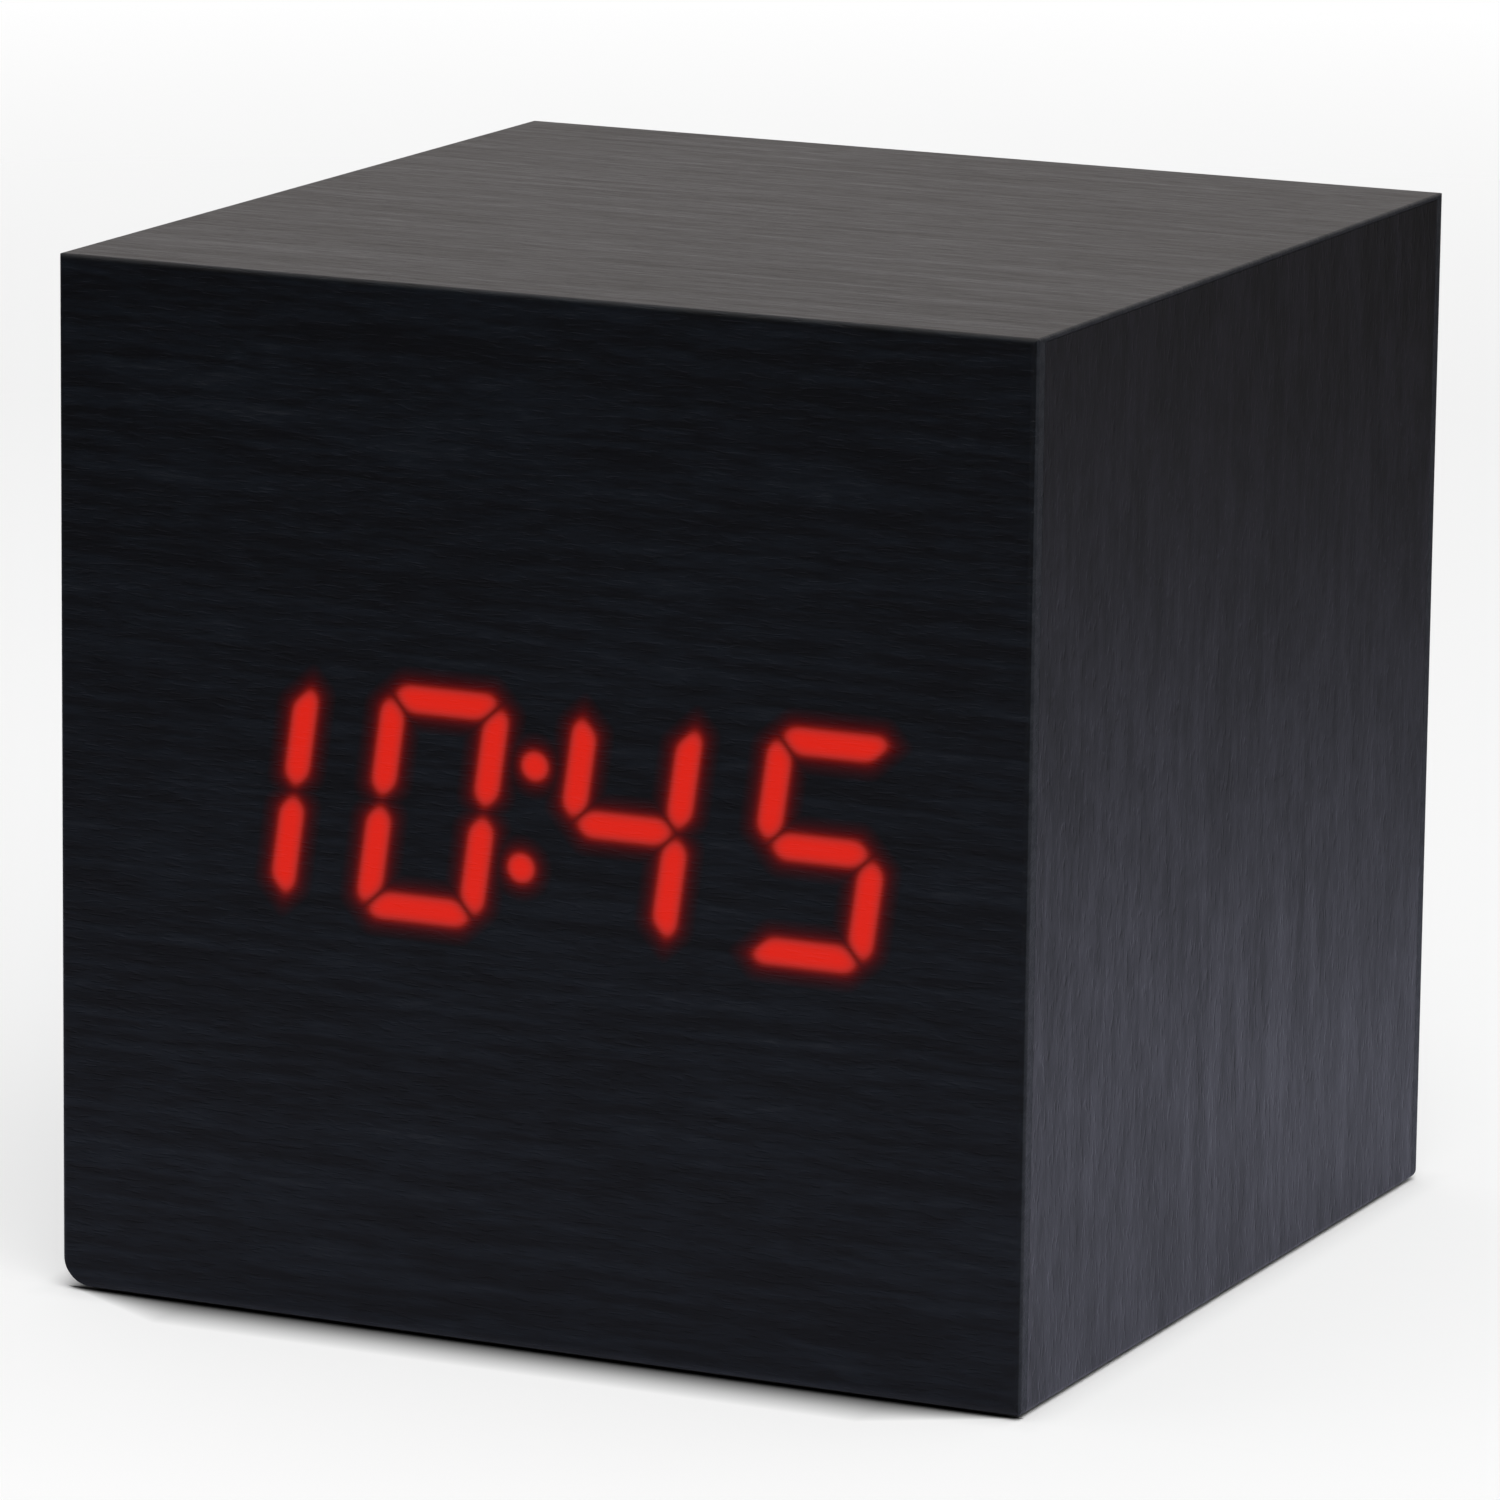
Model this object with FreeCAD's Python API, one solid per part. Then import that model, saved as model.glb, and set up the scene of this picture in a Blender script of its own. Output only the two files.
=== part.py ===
import FreeCAD, Part

import math
import os

# A cube-shaped desk clock: a wooden box in wood-grain film, with a four-digit
# seven-segment display shining through the front film at 10:45.
# Frame: origin on the table under the centre of the cube, +Z up, the display
# faces -Y, +X is to the viewer's right. Every length is in millimetres.

# ---------------------------------------------------------------- case
CUBE = 62.0  # outer edge of the cube, film included
FOOT_PROUD = 0.15  # how far the rubber feet stand below the cube
FILM = 0.3  # wood-grain film
BOARD = 4.0  # fibreboard under the film
EDGE_RADIUS = 0.4  # rounding of the cube's edges
CRISP_RADIUS = 0.15  # rounding of the left and right edges at the top
FRONT_FOOT_RADIUS = 0.7  # rounding of the front edge at the bottom
REAR_FOOT_RADIUS = 1.3  # rounding of the rear edge at the bottom
WORN_RADIUS = 2.4  # lower left edge, sanded rounder than the others
HEM = 0.15  # bare board below the film's lower edge
LIP = 1.1  # film of the front turned round the upright edges
SEAM = 0.03  # open line between two films

HALF = CUBE / 2
BODY_BOTTOM = FOOT_PROUD
BODY_TOP = FOOT_PROUD + CUBE
CORE = HALF - FILM  # half width of the boards' outside
CORE_TOP = BODY_TOP - FILM
INNER = CORE - BOARD  # half width of the space inside
INNER_TOP = CORE_TOP - BOARD

# ---------------------------------------------------------------- digits
DIGIT_HEIGHT = 14.0  # a standard 0.56 inch display
BAR = 1.66  # width of one lit bar
BAR_SPACING = 6.64  # between the centre lines of a digit's upright bars
BAR_GAP = 0.2  # dark line between two bars
CORNER_CUT = 1.18  # slanted corner of an outer bar
SLANT = math.radians(7.9)  # lean of the digits to the right
DIGIT_PITCH = 12.3
DISPLAY_X = -0.29  # centre of the display on the front
DISPLAY_Z = BODY_BOTTOM + HALF + 0.7
COLON_RADIUS = 0.885
COLON_SPACING = 6.06
LIT_BARS = ("bc", "abcdef", "bcfg", "acdfg")  # the four digits of 10:45

# ---------------------------------------------------------------- display module
BLOCK_WIDTH = 50.2  # white block that stands in the front board's window
BLOCK_HEIGHT = 18.6
WINDOW_PLAY = 0.2
SEAL = 0.6  # foam frame between the block's flange and the board
FLANGE = 1.6
FLANGE_WIDTH = 52.4
FLANGE_HEIGHT = 27.0
CIRCUIT = 1.2  # thickness of both circuit boards
LIGHT_CHIP = (1.4, 0.7, 0.8)
CHIP_AIR = 1.0  # space between a light chip's board and its diffuser
DISPLAY_SCREW_X = 22.0
DISPLAY_SCREW_Z = 11.6

# ---------------------------------------------------------------- base and battery bay
PLATE_HALF = 26.5
PLATE_BOTTOM = 1.0
PLATE = 2.0
CELL_LENGTH = 44.5  # AAA, nub included
CELL_RADIUS = 5.15
CELL_PITCH = 11.0
CELL_Z = 8.4
CELL_POLES = (1, -1, 1)  # which way each nub points along X, front to rear
NUB_RADIUS = 1.9
NUB = 1.0
CONTACT = 0.4  # thickness of the contact plates
SPRING_WIRE = 0.25  # radius of the wire
SPRING_NARROW = 1.7
SPRING_WIDE = 3.3
SPRING_HALF_TURNS = 7
BAY_X = 24.0  # half size of the bay inside
BAY_Y = 16.8
BAY_WALL = 1.2
BAY_CEILING = 14.0
DOOR = 1.6
DOOR_PLAY = 0.15
HINGE_RADIUS = 1.2
HINGE_PIN_RADIUS = 0.7
PIN_PLAY = 0.05
FOOT_RADIUS = 4.0
FOOT_THICKNESS = 1.6
FOOT_X = 13.0
FOOT_Y = 22.2
BLOCK_SIZE = 7.0  # glue blocks in the four upright corners
BLOCK_TOP = 17.0
BASE_SCREW = INNER - BLOCK_SIZE / 2

PLATE_TOP = PLATE_BOTTOM + PLATE
CELL_END = BAY_X - CONTACT
SPRING_LENGTH = 2 * CELL_END - CELL_LENGTH
HINGE_Y = BAY_Y - DOOR_PLAY - HINGE_RADIUS
HINGE_Z = PLATE_BOTTOM + HINGE_RADIUS

# ---------------------------------------------------------------- rear controls
CONTROL_Z = 40.0  # height of the row of buttons and the power jack
CONTROL_WIDTH = 45.6
CONTROL_HEIGHT = 12.6
CONTROL_FACE = 30.2  # the plate's outer face, 0.8 under the cube's back
CONTROL_THICKNESS = 1.6
CONTROL_WALL = 1.2
CONTROL_CORNER = 2.0
CONTROL_FLANGE_X = 25.5
CONTROL_FLANGE_Z = 10.5
BUTTONS = {"set": 13.0, "up": 4.0, "down": -5.0}  # X of each button
CAP_RADIUS = 2.8
CAP_PLAY = 0.1
CAP_FACE = 30.8
CAP_FLANGE_RADIUS = 3.7
CAP_FLANGE = 0.8
STEM_RADIUS = 1.7
SWITCH = 6.0
SWITCH_HEIGHT = 3.4
PLUNGER_RADIUS = 1.65
PLUNGER_TOP = 26.2
CONTROL_INSIDE = CONTROL_FACE - CONTROL_THICKNESS
JACK_X = -16.5
JACK = 8.0
JACK_STUB = 5.6  # the jack's rear end, which stands in a notch of the main board
JACK_REAR = 19.2
JACK_MOUTH = 30.0
JACK_NOSE_RADIUS = 3.2
JACK_BORE_RADIUS = 1.85
JACK_BORE_FLOOR = 20.5
JACK_PIN_RADIUS = 0.65  # 3.5 x 1.3 mm power plug
JACK_PIN_TIP = 29.0
JACK_TAIL = 0.7
MICROPHONE_X = 19.3

# ---------------------------------------------------------------- main board
MAIN_FACE = 22.0  # the face that looks to the rear
MAIN_HALF_X = 24.0
MAIN_LOW = 24.0
MAIN_HIGH = 52.0
BOSS_X = 20.0
BOSS_Z = 8.5
MAIN_BACK = MAIN_FACE - CIRCUIT

# ---------------------------------------------------------------- leads
LEAD_RADIUS = 0.6
LEAD_X = 23.0
LEAD_LOW = 16.2
LEAD_RUN = 19.4
LEAD_TURN = 17.0
LEAD_END = 27.0
LEAD_BEND = 1.8
BUZZER_X = 11.5
BUZZER_Z = 31.0
RIBBON_WIDTH = 12.7
RIBBON = 0.9
RIBBON_BEND = 3.0
SOCKET = (14.0, 4.0, 4.0)
DISPLAY_SOCKET_Z = 22.5

FRONT_FILM = -HALF
FRONT_BOARD = -CORE
FLANGE_FRONT = -INNER + SEAL
DISPLAY_BOARD_FRONT = FLANGE_FRONT + FLANGE
DISPLAY_BOARD_BACK = DISPLAY_BOARD_FRONT + CIRCUIT

BEYOND = 1.0  # how far a cutting tool runs past the face it cuts
FINE = 1e-6  # two lengths closer than this are the same

vector = FreeCAD.Vector
ALONG = {"x": vector(1, 0, 0), "y": vector(0, 1, 0), "z": vector(0, 0, 1)}


# ---------------------------------------------------------------- general shapes
def box(x0, x1, y0, y1, z0, z1):
    """A block between two corners."""
    return Part.makeBox(x1 - x0, y1 - y0, z1 - z0, vector(x0, y0, z0))


def rod(axis, radius, start, end, centre):
    """A round bar along x, y or z; centre holds its other two coordinates, in order."""
    place = list(centre)
    place.insert("xyz".index(axis), start)
    return Part.makeCylinder(radius, end - start, vector(*place), ALONG[axis])


def prism(points, axis, start, end):
    """A flat outline, given in the two other coordinates, carried along an axis."""
    corners = []
    for point in points:
        corner = list(point)
        corner.insert("xyz".index(axis), start)
        corners.append(vector(*corner))
    outline = Part.makePolygon(corners + corners[:1])
    return Part.Face(outline).extrude(ALONG[axis] * (end - start))


def joined(*shapes):
    """Several touching shapes as one solid."""
    return shapes[0].fuse(list(shapes[1:])).removeSplitter()


def less(shape, *tools):
    """A shape with others taken out of it."""
    return shape.cut(list(tools))


def edges_along(shape, axis):
    """The straight edges of a shape that run along one axis."""
    return [
        edge
        for edge in shape.Edges
        if abs(abs(edge.tangentAt(edge.FirstParameter).dot(ALONG[axis])) - 1) < FINE
    ]


def rounded(shape, axis, radius):
    """A shape with its straight edges along one axis rounded."""
    return shape.makeFillet(radius, edges_along(shape, axis))


def rounded_at(block, axis, radii):
    """A block with single edges along an axis rounded; radii maps an edge's place to its radius."""
    for (across, up), radius in radii.items():
        for edge in edges_along(block, axis):
            place = list(edge.CenterOfMass)
            place.pop("xyz".index(axis))
            if math.hypot(place[0] - across, place[1] - up) < FINE:
                block = block.makeFillet(radius, [edge])
                break
    return block


def rounded_plate(half_x, half_z, centre, y0, y1, radius):
    """An upright plate in the XZ plane with round corners, centred on (x, z)."""
    x, z = centre
    return rounded(box(x - half_x, x + half_x, y0, y1, z - half_z, z + half_z), "y", radius)


def bent_path(points, radius, place):
    """A wire of straight runs joined by tangent arcs; place turns (y, z) into a vector."""
    edges = []
    start = place(*points[0])
    for before, corner, after in zip(points, points[1:], points[2:]):
        here = place(*corner)
        back = (place(*before) - here).normalize()
        ahead = (place(*after) - here).normalize()
        half_turn = back.getAngle(ahead) / 2
        reach = radius / math.tan(half_turn)
        enter = here + back * reach
        leave = here + ahead * reach
        middle = (back + ahead).normalize()
        deepest = here + middle * (radius / math.sin(half_turn) - radius)
        edges.append(Part.LineSegment(start, enter).toShape())
        edges.append(Part.Arc(enter, deepest, leave).toShape())
        start = leave
    edges.append(Part.LineSegment(start, place(*points[-1])).toShape())
    return Part.Wire(edges)


def four_corners(x, y):
    """The four points (+-x, +-y)."""
    return [(sx * x, sy * y) for sx in (-1, 1) for sy in (-1, 1)]


def screw(axis, centre, seat, way, head, shank, length):
    """A pan-head screw with a cross slot; head is (radius, height), way is -1 or +1."""
    radius, height = head
    cap = rod("z", radius, -height, 0, (0, 0))
    cap = cap.makeFillet(height * 0.45, [e for e in cap.Edges if e.BoundBox.ZMax < -height / 2])
    slot_half = radius * 0.6
    slot_width = radius * 0.14
    slot_floor = -height * 0.45
    slots = [
        box(-slot_half, slot_half, -slot_width, slot_width, -height - BEYOND, slot_floor),
        box(-slot_width, slot_width, -slot_half, slot_half, -height - BEYOND, slot_floor),
    ]
    point = Part.makeCone(shank, shank * 0.2, shank * 1.6, vector(0, 0, length - shank * 1.6))
    body = joined(cap, rod("z", shank, 0, length - shank * 1.6, (0, 0)), point)
    body = less(body, *slots)
    if axis == "y":
        body.rotate(vector(0, 0, 0), ALONG["x"], -90 * way)
        body.translate(vector(centre[0], seat, centre[1]))
    else:
        body.translate(vector(centre[0], centre[1], seat))
    return body


def outline_chip(length, width, height, pins, pitch):
    """A chip with two rows of bent legs, lying in the XZ plane and rising towards -Y from 0."""
    stand = 0.15
    leg = 0.4
    plate = 0.2
    body = rounded(box(-length / 2, length / 2, -height, -stand, -width / 2, width / 2), "y", 0.2)
    pieces = [body]
    knee = height * 0.5
    for row in (-1, 1):
        for number in range(pins):
            x = (number - (pins - 1) / 2) * pitch
            inner = row * (width / 2 - plate)
            bend = row * (width / 2 + 0.6)
            toe = row * (width / 2 + 1.2)
            outline = [
                (-knee, inner),
                (-knee - plate, inner),
                (-knee - plate, bend),
                (-plate, bend),
                (-plate, toe),
                (0, toe),
                (0, bend - row * plate),
                (-knee, bend - row * plate),
            ]
            pieces.append(prism(outline, "x", x - leg / 2, x + leg / 2))
    return joined(*pieces)


# ---------------------------------------------------------------- case
def case_block(inset):
    """The cube drawn in by inset on five sides, with all its edges rounded."""
    half = HALF - inset
    top = BODY_TOP - inset
    edge = EDGE_RADIUS - inset
    crisp = max(CRISP_RADIUS - inset, 0.05)
    block = box(-half, half, -half, half, BODY_BOTTOM, top)
    from_above = rounded(block, "z", edge)
    from_side = rounded_at(
        block, "x",
        {
            (-half, BODY_BOTTOM): FRONT_FOOT_RADIUS - inset,
            (half, BODY_BOTTOM): REAR_FOOT_RADIUS - inset,
            (-half, top): edge,
            (half, top): edge,
        },
    )
    from_front = rounded_at(
        block, "y",
        {
            (-half, BODY_BOTTOM): WORN_RADIUS - inset,
            (half, BODY_BOTTOM): edge,
            (-half, top): crisp,
            (half, top): crisp,
        },
    )
    return from_above.common(from_side).common(from_front)


def case_shell():
    """The film on all five sides, before it is parted into a wrap and two side sheets."""
    above_hem = box(-HALF, HALF, -HALF, HALF, BODY_BOTTOM + HEM, BODY_TOP)
    return less(case_block(0).common(above_hem), case_block(FILM))


def side_pocket(side, play):
    """The part of one side that a side sheet covers; play opens the seam round it."""
    x0, x1 = sorted((side * (HALF - WORN_RADIUS), side * (HALF + BEYOND)))
    half_y = HALF - LIP + play
    return box(x0, x1, -half_y, half_y, BODY_BOTTOM - BEYOND, BODY_TOP - FILM + play)


def wrap_film():
    """Film over front, top and back, with windows for the lit bars and the controls."""
    wrap = less(case_shell(), side_pocket(-1, 0), side_pocket(1, 0))
    return less(wrap, *lit_prisms(FRONT_FILM - BEYOND, FRONT_BOARD + BEYOND), control_window())


def side_film(side):
    """Film sheet on one side, its grain upright."""
    return case_shell().common(side_pocket(side, -SEAM))


def upright_board(turn):
    """One of the four upright boards, mitred at its two upright edges and at the top."""
    from_above = [(-CORE, -CORE), (CORE, -CORE), (INNER, -INNER), (-INNER, -INNER)]
    from_side = [(-CORE, BODY_BOTTOM), (-CORE, CORE_TOP), (-INNER, INNER_TOP), (-INNER, BODY_BOTTOM)]
    board = prism(from_above, "z", BODY_BOTTOM, CORE_TOP).common(prism(from_side, "x", -CORE, CORE))
    board.rotate(vector(0, 0, 0), ALONG["z"], turn)
    return board.common(case_block(FILM))


def top_panel():
    """The top board, mitred all round."""
    taper = [(-CORE, CORE_TOP), (CORE, CORE_TOP), (INNER, INNER_TOP), (-INNER, INNER_TOP)]
    board = prism(taper, "y", -CORE, CORE).common(prism(taper, "x", -CORE, CORE))
    return board.common(case_block(FILM))


def front_panel():
    """The front board, with the display's window and its four screw holes."""
    half_x = BLOCK_WIDTH / 2 + WINDOW_PLAY
    half_z = BLOCK_HEIGHT / 2 + WINDOW_PLAY
    window = box(
        DISPLAY_X - half_x, DISPLAY_X + half_x, -HALF, -INNER + BEYOND,
        DISPLAY_Z - half_z, DISPLAY_Z + half_z,
    )
    pilots = [rod("y", 0.84, -29.8, -INNER + BEYOND, c) for c in display_screw_places()]
    return less(upright_board(0), window, *pilots)


def back_panel():
    """The back board, with the window for the control plate."""
    return less(upright_board(180), control_window())


def control_window():
    """The opening through back film and back board."""
    return rounded_plate(
        CONTROL_WIDTH / 2 + WINDOW_PLAY, CONTROL_HEIGHT / 2 + WINDOW_PLAY,
        (0, CONTROL_Z), INNER - BEYOND, HALF + BEYOND, CONTROL_CORNER,
    )


def corner_blocks():
    """Glue blocks in the upright corners, which also take the base screws."""
    blocks = []
    near = INNER - BLOCK_SIZE
    for x, y in four_corners(1, 1):
        x0, x1 = sorted((x * near, x * INNER))
        y0, y1 = sorted((y * near, y * INNER))
        pilot = rod("z", 0.94, PLATE_TOP - BEYOND, 11.5, (x * BASE_SCREW, y * BASE_SCREW))
        blocks.append(less(box(x0, x1, y0, y1, PLATE_TOP, BLOCK_TOP), pilot))
    return Part.makeCompound(blocks)


# ---------------------------------------------------------------- digits
def bar_outlines():
    """The three kinds of bar, in (x, z) from a digit's centre: top, upper right and middle."""
    w = BAR_SPACING / 2
    h = (DIGIT_HEIGHT - BAR) / 2
    t = BAR / 2
    g = BAR_GAP / math.sqrt(2)
    c = CORNER_CUT
    top = [
        (-w + t + g, h - t),
        (-w - t + g + c / 2, h + t - c / 2),
        (-w - t + g + c, h + t),
        (w + t - g - c, h + t),
        (w + t - g - c / 2, h + t - c / 2),
        (w - t - g, h - t),
    ]
    upright = [
        (w, g),
        (w + t, g + t),
        (w + t, h + t - g - c),
        (w + t - c / 2, h + t - g - c / 2),
        (w - t, h - t - g),
        (w - t, g + t),
    ]
    middle = [
        (-w + g, 0),
        (-w + g + t, t),
        (w - g - t, t),
        (w - g, 0),
        (w - g - t, -t),
        (-w + g + t, -t),
    ]
    return top, upright, middle


def digit_bars(letters):
    """Outlines of the named bars of one digit, each a flip of one of the three kinds."""
    top, upright, middle = bar_outlines()
    flips = {
        "a": (top, 1, 1),
        "b": (upright, 1, 1),
        "c": (upright, 1, -1),
        "d": (top, 1, -1),
        "e": (upright, -1, -1),
        "f": (upright, -1, 1),
        "g": (middle, 1, 1),
    }
    chosen = [flips[letter] for letter in letters]
    return [[(fx * x, fz * z) for x, z in outline] for outline, fx, fz in chosen]


def leaning(x, z):
    """A point of the upright display, leaned to the right and put on the front."""
    return (DISPLAY_X + x + z * math.tan(SLANT), DISPLAY_Z + z)


def digit_centres():
    """X of the four digits from the display's centre."""
    return [(number - 1.5) * DIGIT_PITCH for number in range(4)]


def bar_prisms(lit, y0, y1):
    """Prisms of the bars in the four strings of letters, between two depths."""
    prisms = []
    for centre, letters in zip(digit_centres(), lit):
        for outline in digit_bars(letters):
            leaned = [leaning(centre + x, z) for x, z in outline]
            prisms.append(prism([(x, z) for x, z in leaned], "y", y0, y1))
    return prisms


def colon_prisms(y0, y1):
    """The two dots between the hours and the minutes."""
    heights = (-COLON_SPACING / 2, COLON_SPACING / 2)
    return [rod("y", COLON_RADIUS, y0, y1, leaning(0, z)) for z in heights]


def lit_prisms(y0, y1):
    """All that glows at 10:45."""
    return bar_prisms(LIT_BARS, y0, y1) + colon_prisms(y0, y1)


def all_prisms(y0, y1):
    """Every bar and dot of the display, lit or dark."""
    return bar_prisms(["abcdefg"] * 4, y0, y1) + colon_prisms(y0, y1)


def glowing_bars():
    """The areas of the front film that the display lights."""
    return Part.makeCompound(lit_prisms(FRONT_FILM, FRONT_BOARD))


def display_screw_places():
    """Where the display's screws go, in (x, z)."""
    return [(DISPLAY_X + x, DISPLAY_Z + z) for x, z in four_corners(DISPLAY_SCREW_X, DISPLAY_SCREW_Z)]


def display_block():
    """White block with one shaft for each bar and dot, and a flange behind the board."""
    plug = rounded_plate(
        BLOCK_WIDTH / 2, BLOCK_HEIGHT / 2, (DISPLAY_X, DISPLAY_Z), FRONT_BOARD, FLANGE_FRONT, 0.4
    )
    flange = rounded_plate(
        FLANGE_WIDTH / 2, FLANGE_HEIGHT / 2, (DISPLAY_X, DISPLAY_Z), FLANGE_FRONT, DISPLAY_BOARD_FRONT, 1.5
    )
    holes = [
        rod("y", 1.05, FLANGE_FRONT - BEYOND, DISPLAY_BOARD_FRONT + BEYOND, c)
        for c in display_screw_places()
    ]
    shafts = all_prisms(FRONT_BOARD - BEYOND, DISPLAY_BOARD_FRONT + BEYOND)
    return less(joined(plug, flange), *shafts, *holes)


def segment_diffusers():
    """Clear filling of the shafts, down to just above the light chips."""
    return Part.makeCompound(all_prisms(FRONT_BOARD, DISPLAY_BOARD_FRONT - CHIP_AIR))


def light_seal():
    """Black foam frame that keeps the light in."""
    outer = rounded_plate(
        FLANGE_WIDTH / 2, FLANGE_HEIGHT / 2, (DISPLAY_X, DISPLAY_Z), -INNER, FLANGE_FRONT, 1.5
    )
    inner = rounded_plate(
        BLOCK_WIDTH / 2 + WINDOW_PLAY, BLOCK_HEIGHT / 2 + WINDOW_PLAY,
        (DISPLAY_X, DISPLAY_Z), -INNER - BEYOND, FLANGE_FRONT + BEYOND, 0.4,
    )
    holes = [rod("y", 1.05, -INNER - BEYOND, FLANGE_FRONT + BEYOND, c) for c in display_screw_places()]
    return less(outer, inner, *holes)


def light_chips():
    """One light chip in the middle of each bar and dot."""
    width, height, depth = LIGHT_CHIP
    chips = []
    for shaft in all_prisms(-height, 0):
        x = shaft.CenterOfMass.x
        z = shaft.CenterOfMass.z
        chips.append(
            box(x - width / 2, x + width / 2, DISPLAY_BOARD_FRONT - height, DISPLAY_BOARD_FRONT,
                z - depth / 2, z + depth / 2)
        )
    return Part.makeCompound(chips)


def display_board():
    """Circuit board behind the block."""
    board = rounded_plate(
        FLANGE_WIDTH / 2, FLANGE_HEIGHT / 2, (DISPLAY_X, DISPLAY_Z),
        DISPLAY_BOARD_FRONT, DISPLAY_BOARD_BACK, 1.5,
    )
    holes = [
        rod("y", 1.05, DISPLAY_BOARD_FRONT - BEYOND, DISPLAY_BOARD_BACK + BEYOND, c)
        for c in display_screw_places()
    ]
    return less(board, *holes)


def display_driver():
    """The chip that drives the digits, on the back of the display board."""
    chip = outline_chip(18.0, 7.6, 2.3, 14, 1.27)
    chip.rotate(vector(0, 0, 0), ALONG["z"], 180)
    chip.translate(vector(DISPLAY_X, DISPLAY_BOARD_BACK, DISPLAY_Z + 3.0))
    return chip


def display_screws():
    """Four screws through the display board and flange into the front board."""
    screws = [
        screw("y", c, DISPLAY_BOARD_BACK, -1, (1.8, 1.0), 0.8, 6.3) for c in display_screw_places()
    ]
    return Part.makeCompound(screws)


# ---------------------------------------------------------------- base and battery bay
def cell_places():
    """(Y, way of the nub) of the three cells, front to rear."""
    return [((number - 1) * CELL_PITCH, pole) for number, pole in enumerate(CELL_POLES)]


def tab_slot(side, y):
    """The slot in the bay's ceiling where a terminal's solder tab comes through."""
    x0, x1 = sorted((side * (BAY_X - 2 * CONTACT), side * BAY_X))
    return box(x0, x1, y - 1.5, y + 1.5, BAY_CEILING - BEYOND, BAY_CEILING + BAY_WALL + BEYOND)


def base_plate():
    """Moulded base with the battery bay on top, open below for the door."""
    plate = rounded(box(-PLATE_HALF, PLATE_HALF, -PLATE_HALF, PLATE_HALF, PLATE_BOTTOM, PLATE_TOP), "z", 0.8)
    outer_x = BAY_X + BAY_WALL
    outer_y = BAY_Y + BAY_WALL
    tower = box(-outer_x, outer_x, -outer_y, outer_y, PLATE_TOP, BAY_CEILING + BAY_WALL)
    tower = rounded(tower, "z", 1.0)
    hollow = box(-BAY_X, BAY_X, -BAY_Y, BAY_Y, PLATE_BOTTOM - BEYOND, BAY_CEILING)
    body = less(joined(plate, tower), hollow)
    body = joined(body, *bay_ribs())
    return less(body, *base_cuts())


def bay_ribs():
    """Ribs between the cells under the ceiling, and the two stops for the door's front edge."""
    ribs = []
    for y in (-CELL_PITCH / 2, CELL_PITCH / 2):
        outline = [(y - 0.9, BAY_CEILING), (y + 0.9, BAY_CEILING), (y + 0.3, 11.0), (y - 0.3, 11.0)]
        ribs.append(prism(outline, "x", -18.0, 18.0))
    stop_low = PLATE_BOTTOM + DOOR + 0.1
    for x in (-18.0, 18.0):
        ribs.append(box(x - 1.0, x + 1.0, -BAY_Y, -BAY_Y + 1.4, stop_low, stop_low + 1.2))
    return ribs


def base_cuts():
    """Recesses for feet and screws, the pins' holes, the thumb notch, tab slots and sound slots."""
    cuts = []
    recess_top = FOOT_THICKNESS
    for x, y in four_corners(FOOT_X, FOOT_Y):
        cuts.append(rod("z", FOOT_RADIUS + 0.1, PLATE_BOTTOM - BEYOND, recess_top, (x, y)))
    for x, y in four_corners(BASE_SCREW, BASE_SCREW):
        cuts.append(rod("z", 1.15, PLATE_BOTTOM - BEYOND, PLATE_TOP + BEYOND, (x, y)))
        cuts.append(rod("z", 2.3, PLATE_BOTTOM - BEYOND, PLATE_BOTTOM + 1.2, (x, y)))
    cuts.append(
        rod("x", HINGE_PIN_RADIUS + PIN_PLAY, -BAY_X - BAY_WALL - BEYOND, BAY_X + BAY_WALL + BEYOND,
            (HINGE_Y, HINGE_Z))
    )
    notch = rod("y", 6.0, -BAY_Y - 3.0, -BAY_Y + BEYOND, (0, PLATE_BOTTOM - 4.8))
    cuts.append(notch)
    cuts.append(tab_slot(1, -CELL_PITCH))
    cuts.append(tab_slot(-1, CELL_PITCH))
    for number in range(5):
        x = (number - 2) * 2.2
        cuts.append(box(x - 0.5, x + 0.5, 20.0, 24.4, PLATE_BOTTOM - BEYOND, PLATE_TOP + BEYOND))
    return cuts


def battery_door():
    """Door with two hinge pins, a springy latch tongue, grip ridges and a stiffening rib."""
    half_x = BAY_X - DOOR_PLAY
    front = -BAY_Y + DOOR_PLAY
    door_top = PLATE_BOTTOM + DOOR
    panel = box(-half_x, half_x, front, HINGE_Y, PLATE_BOTTOM, door_top)
    barrel = rod("x", HINGE_RADIUS, -half_x, half_x, (HINGE_Y, HINGE_Z))
    pin_end = BAY_X + BAY_WALL - 0.3
    pins = rod("x", HINGE_PIN_RADIUS, -pin_end, pin_end, (HINGE_Y, HINGE_Z))
    door = joined(panel, barrel, pins)
    slots = [
        box(x - 0.3, x + 0.3, front - BEYOND, front + 7.0, PLATE_BOTTOM - BEYOND, door_top + BEYOND)
        for x in (-4.6, 4.6)
    ]
    scoop = box(-4.3, 4.3, front - BEYOND, front + 1.2, PLATE_BOTTOM - BEYOND, PLATE_BOTTOM + 0.7)
    grips = [
        box(-3.4, 3.4, front + y, front + y + 0.5, PLATE_BOTTOM - BEYOND, PLATE_BOTTOM + 0.3)
        for y in (2.4, 3.4, 4.4, 5.4)
    ]
    return less(door, *slots, scoop, *grips)


def feet():
    """The four rubber feet, by name."""
    names = ("foot_front_left", "foot_rear_left", "foot_front_right", "foot_rear_right")
    pads = {}
    for name, (x, y) in zip(names, four_corners(FOOT_X, FOOT_Y)):
        pad = rod("z", FOOT_RADIUS, 0, FOOT_THICKNESS, (x, y))
        pads[name] = pad.makeFillet(0.3, [e for e in pad.Edges if e.BoundBox.ZMax < 0.1])
    return pads


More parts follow.
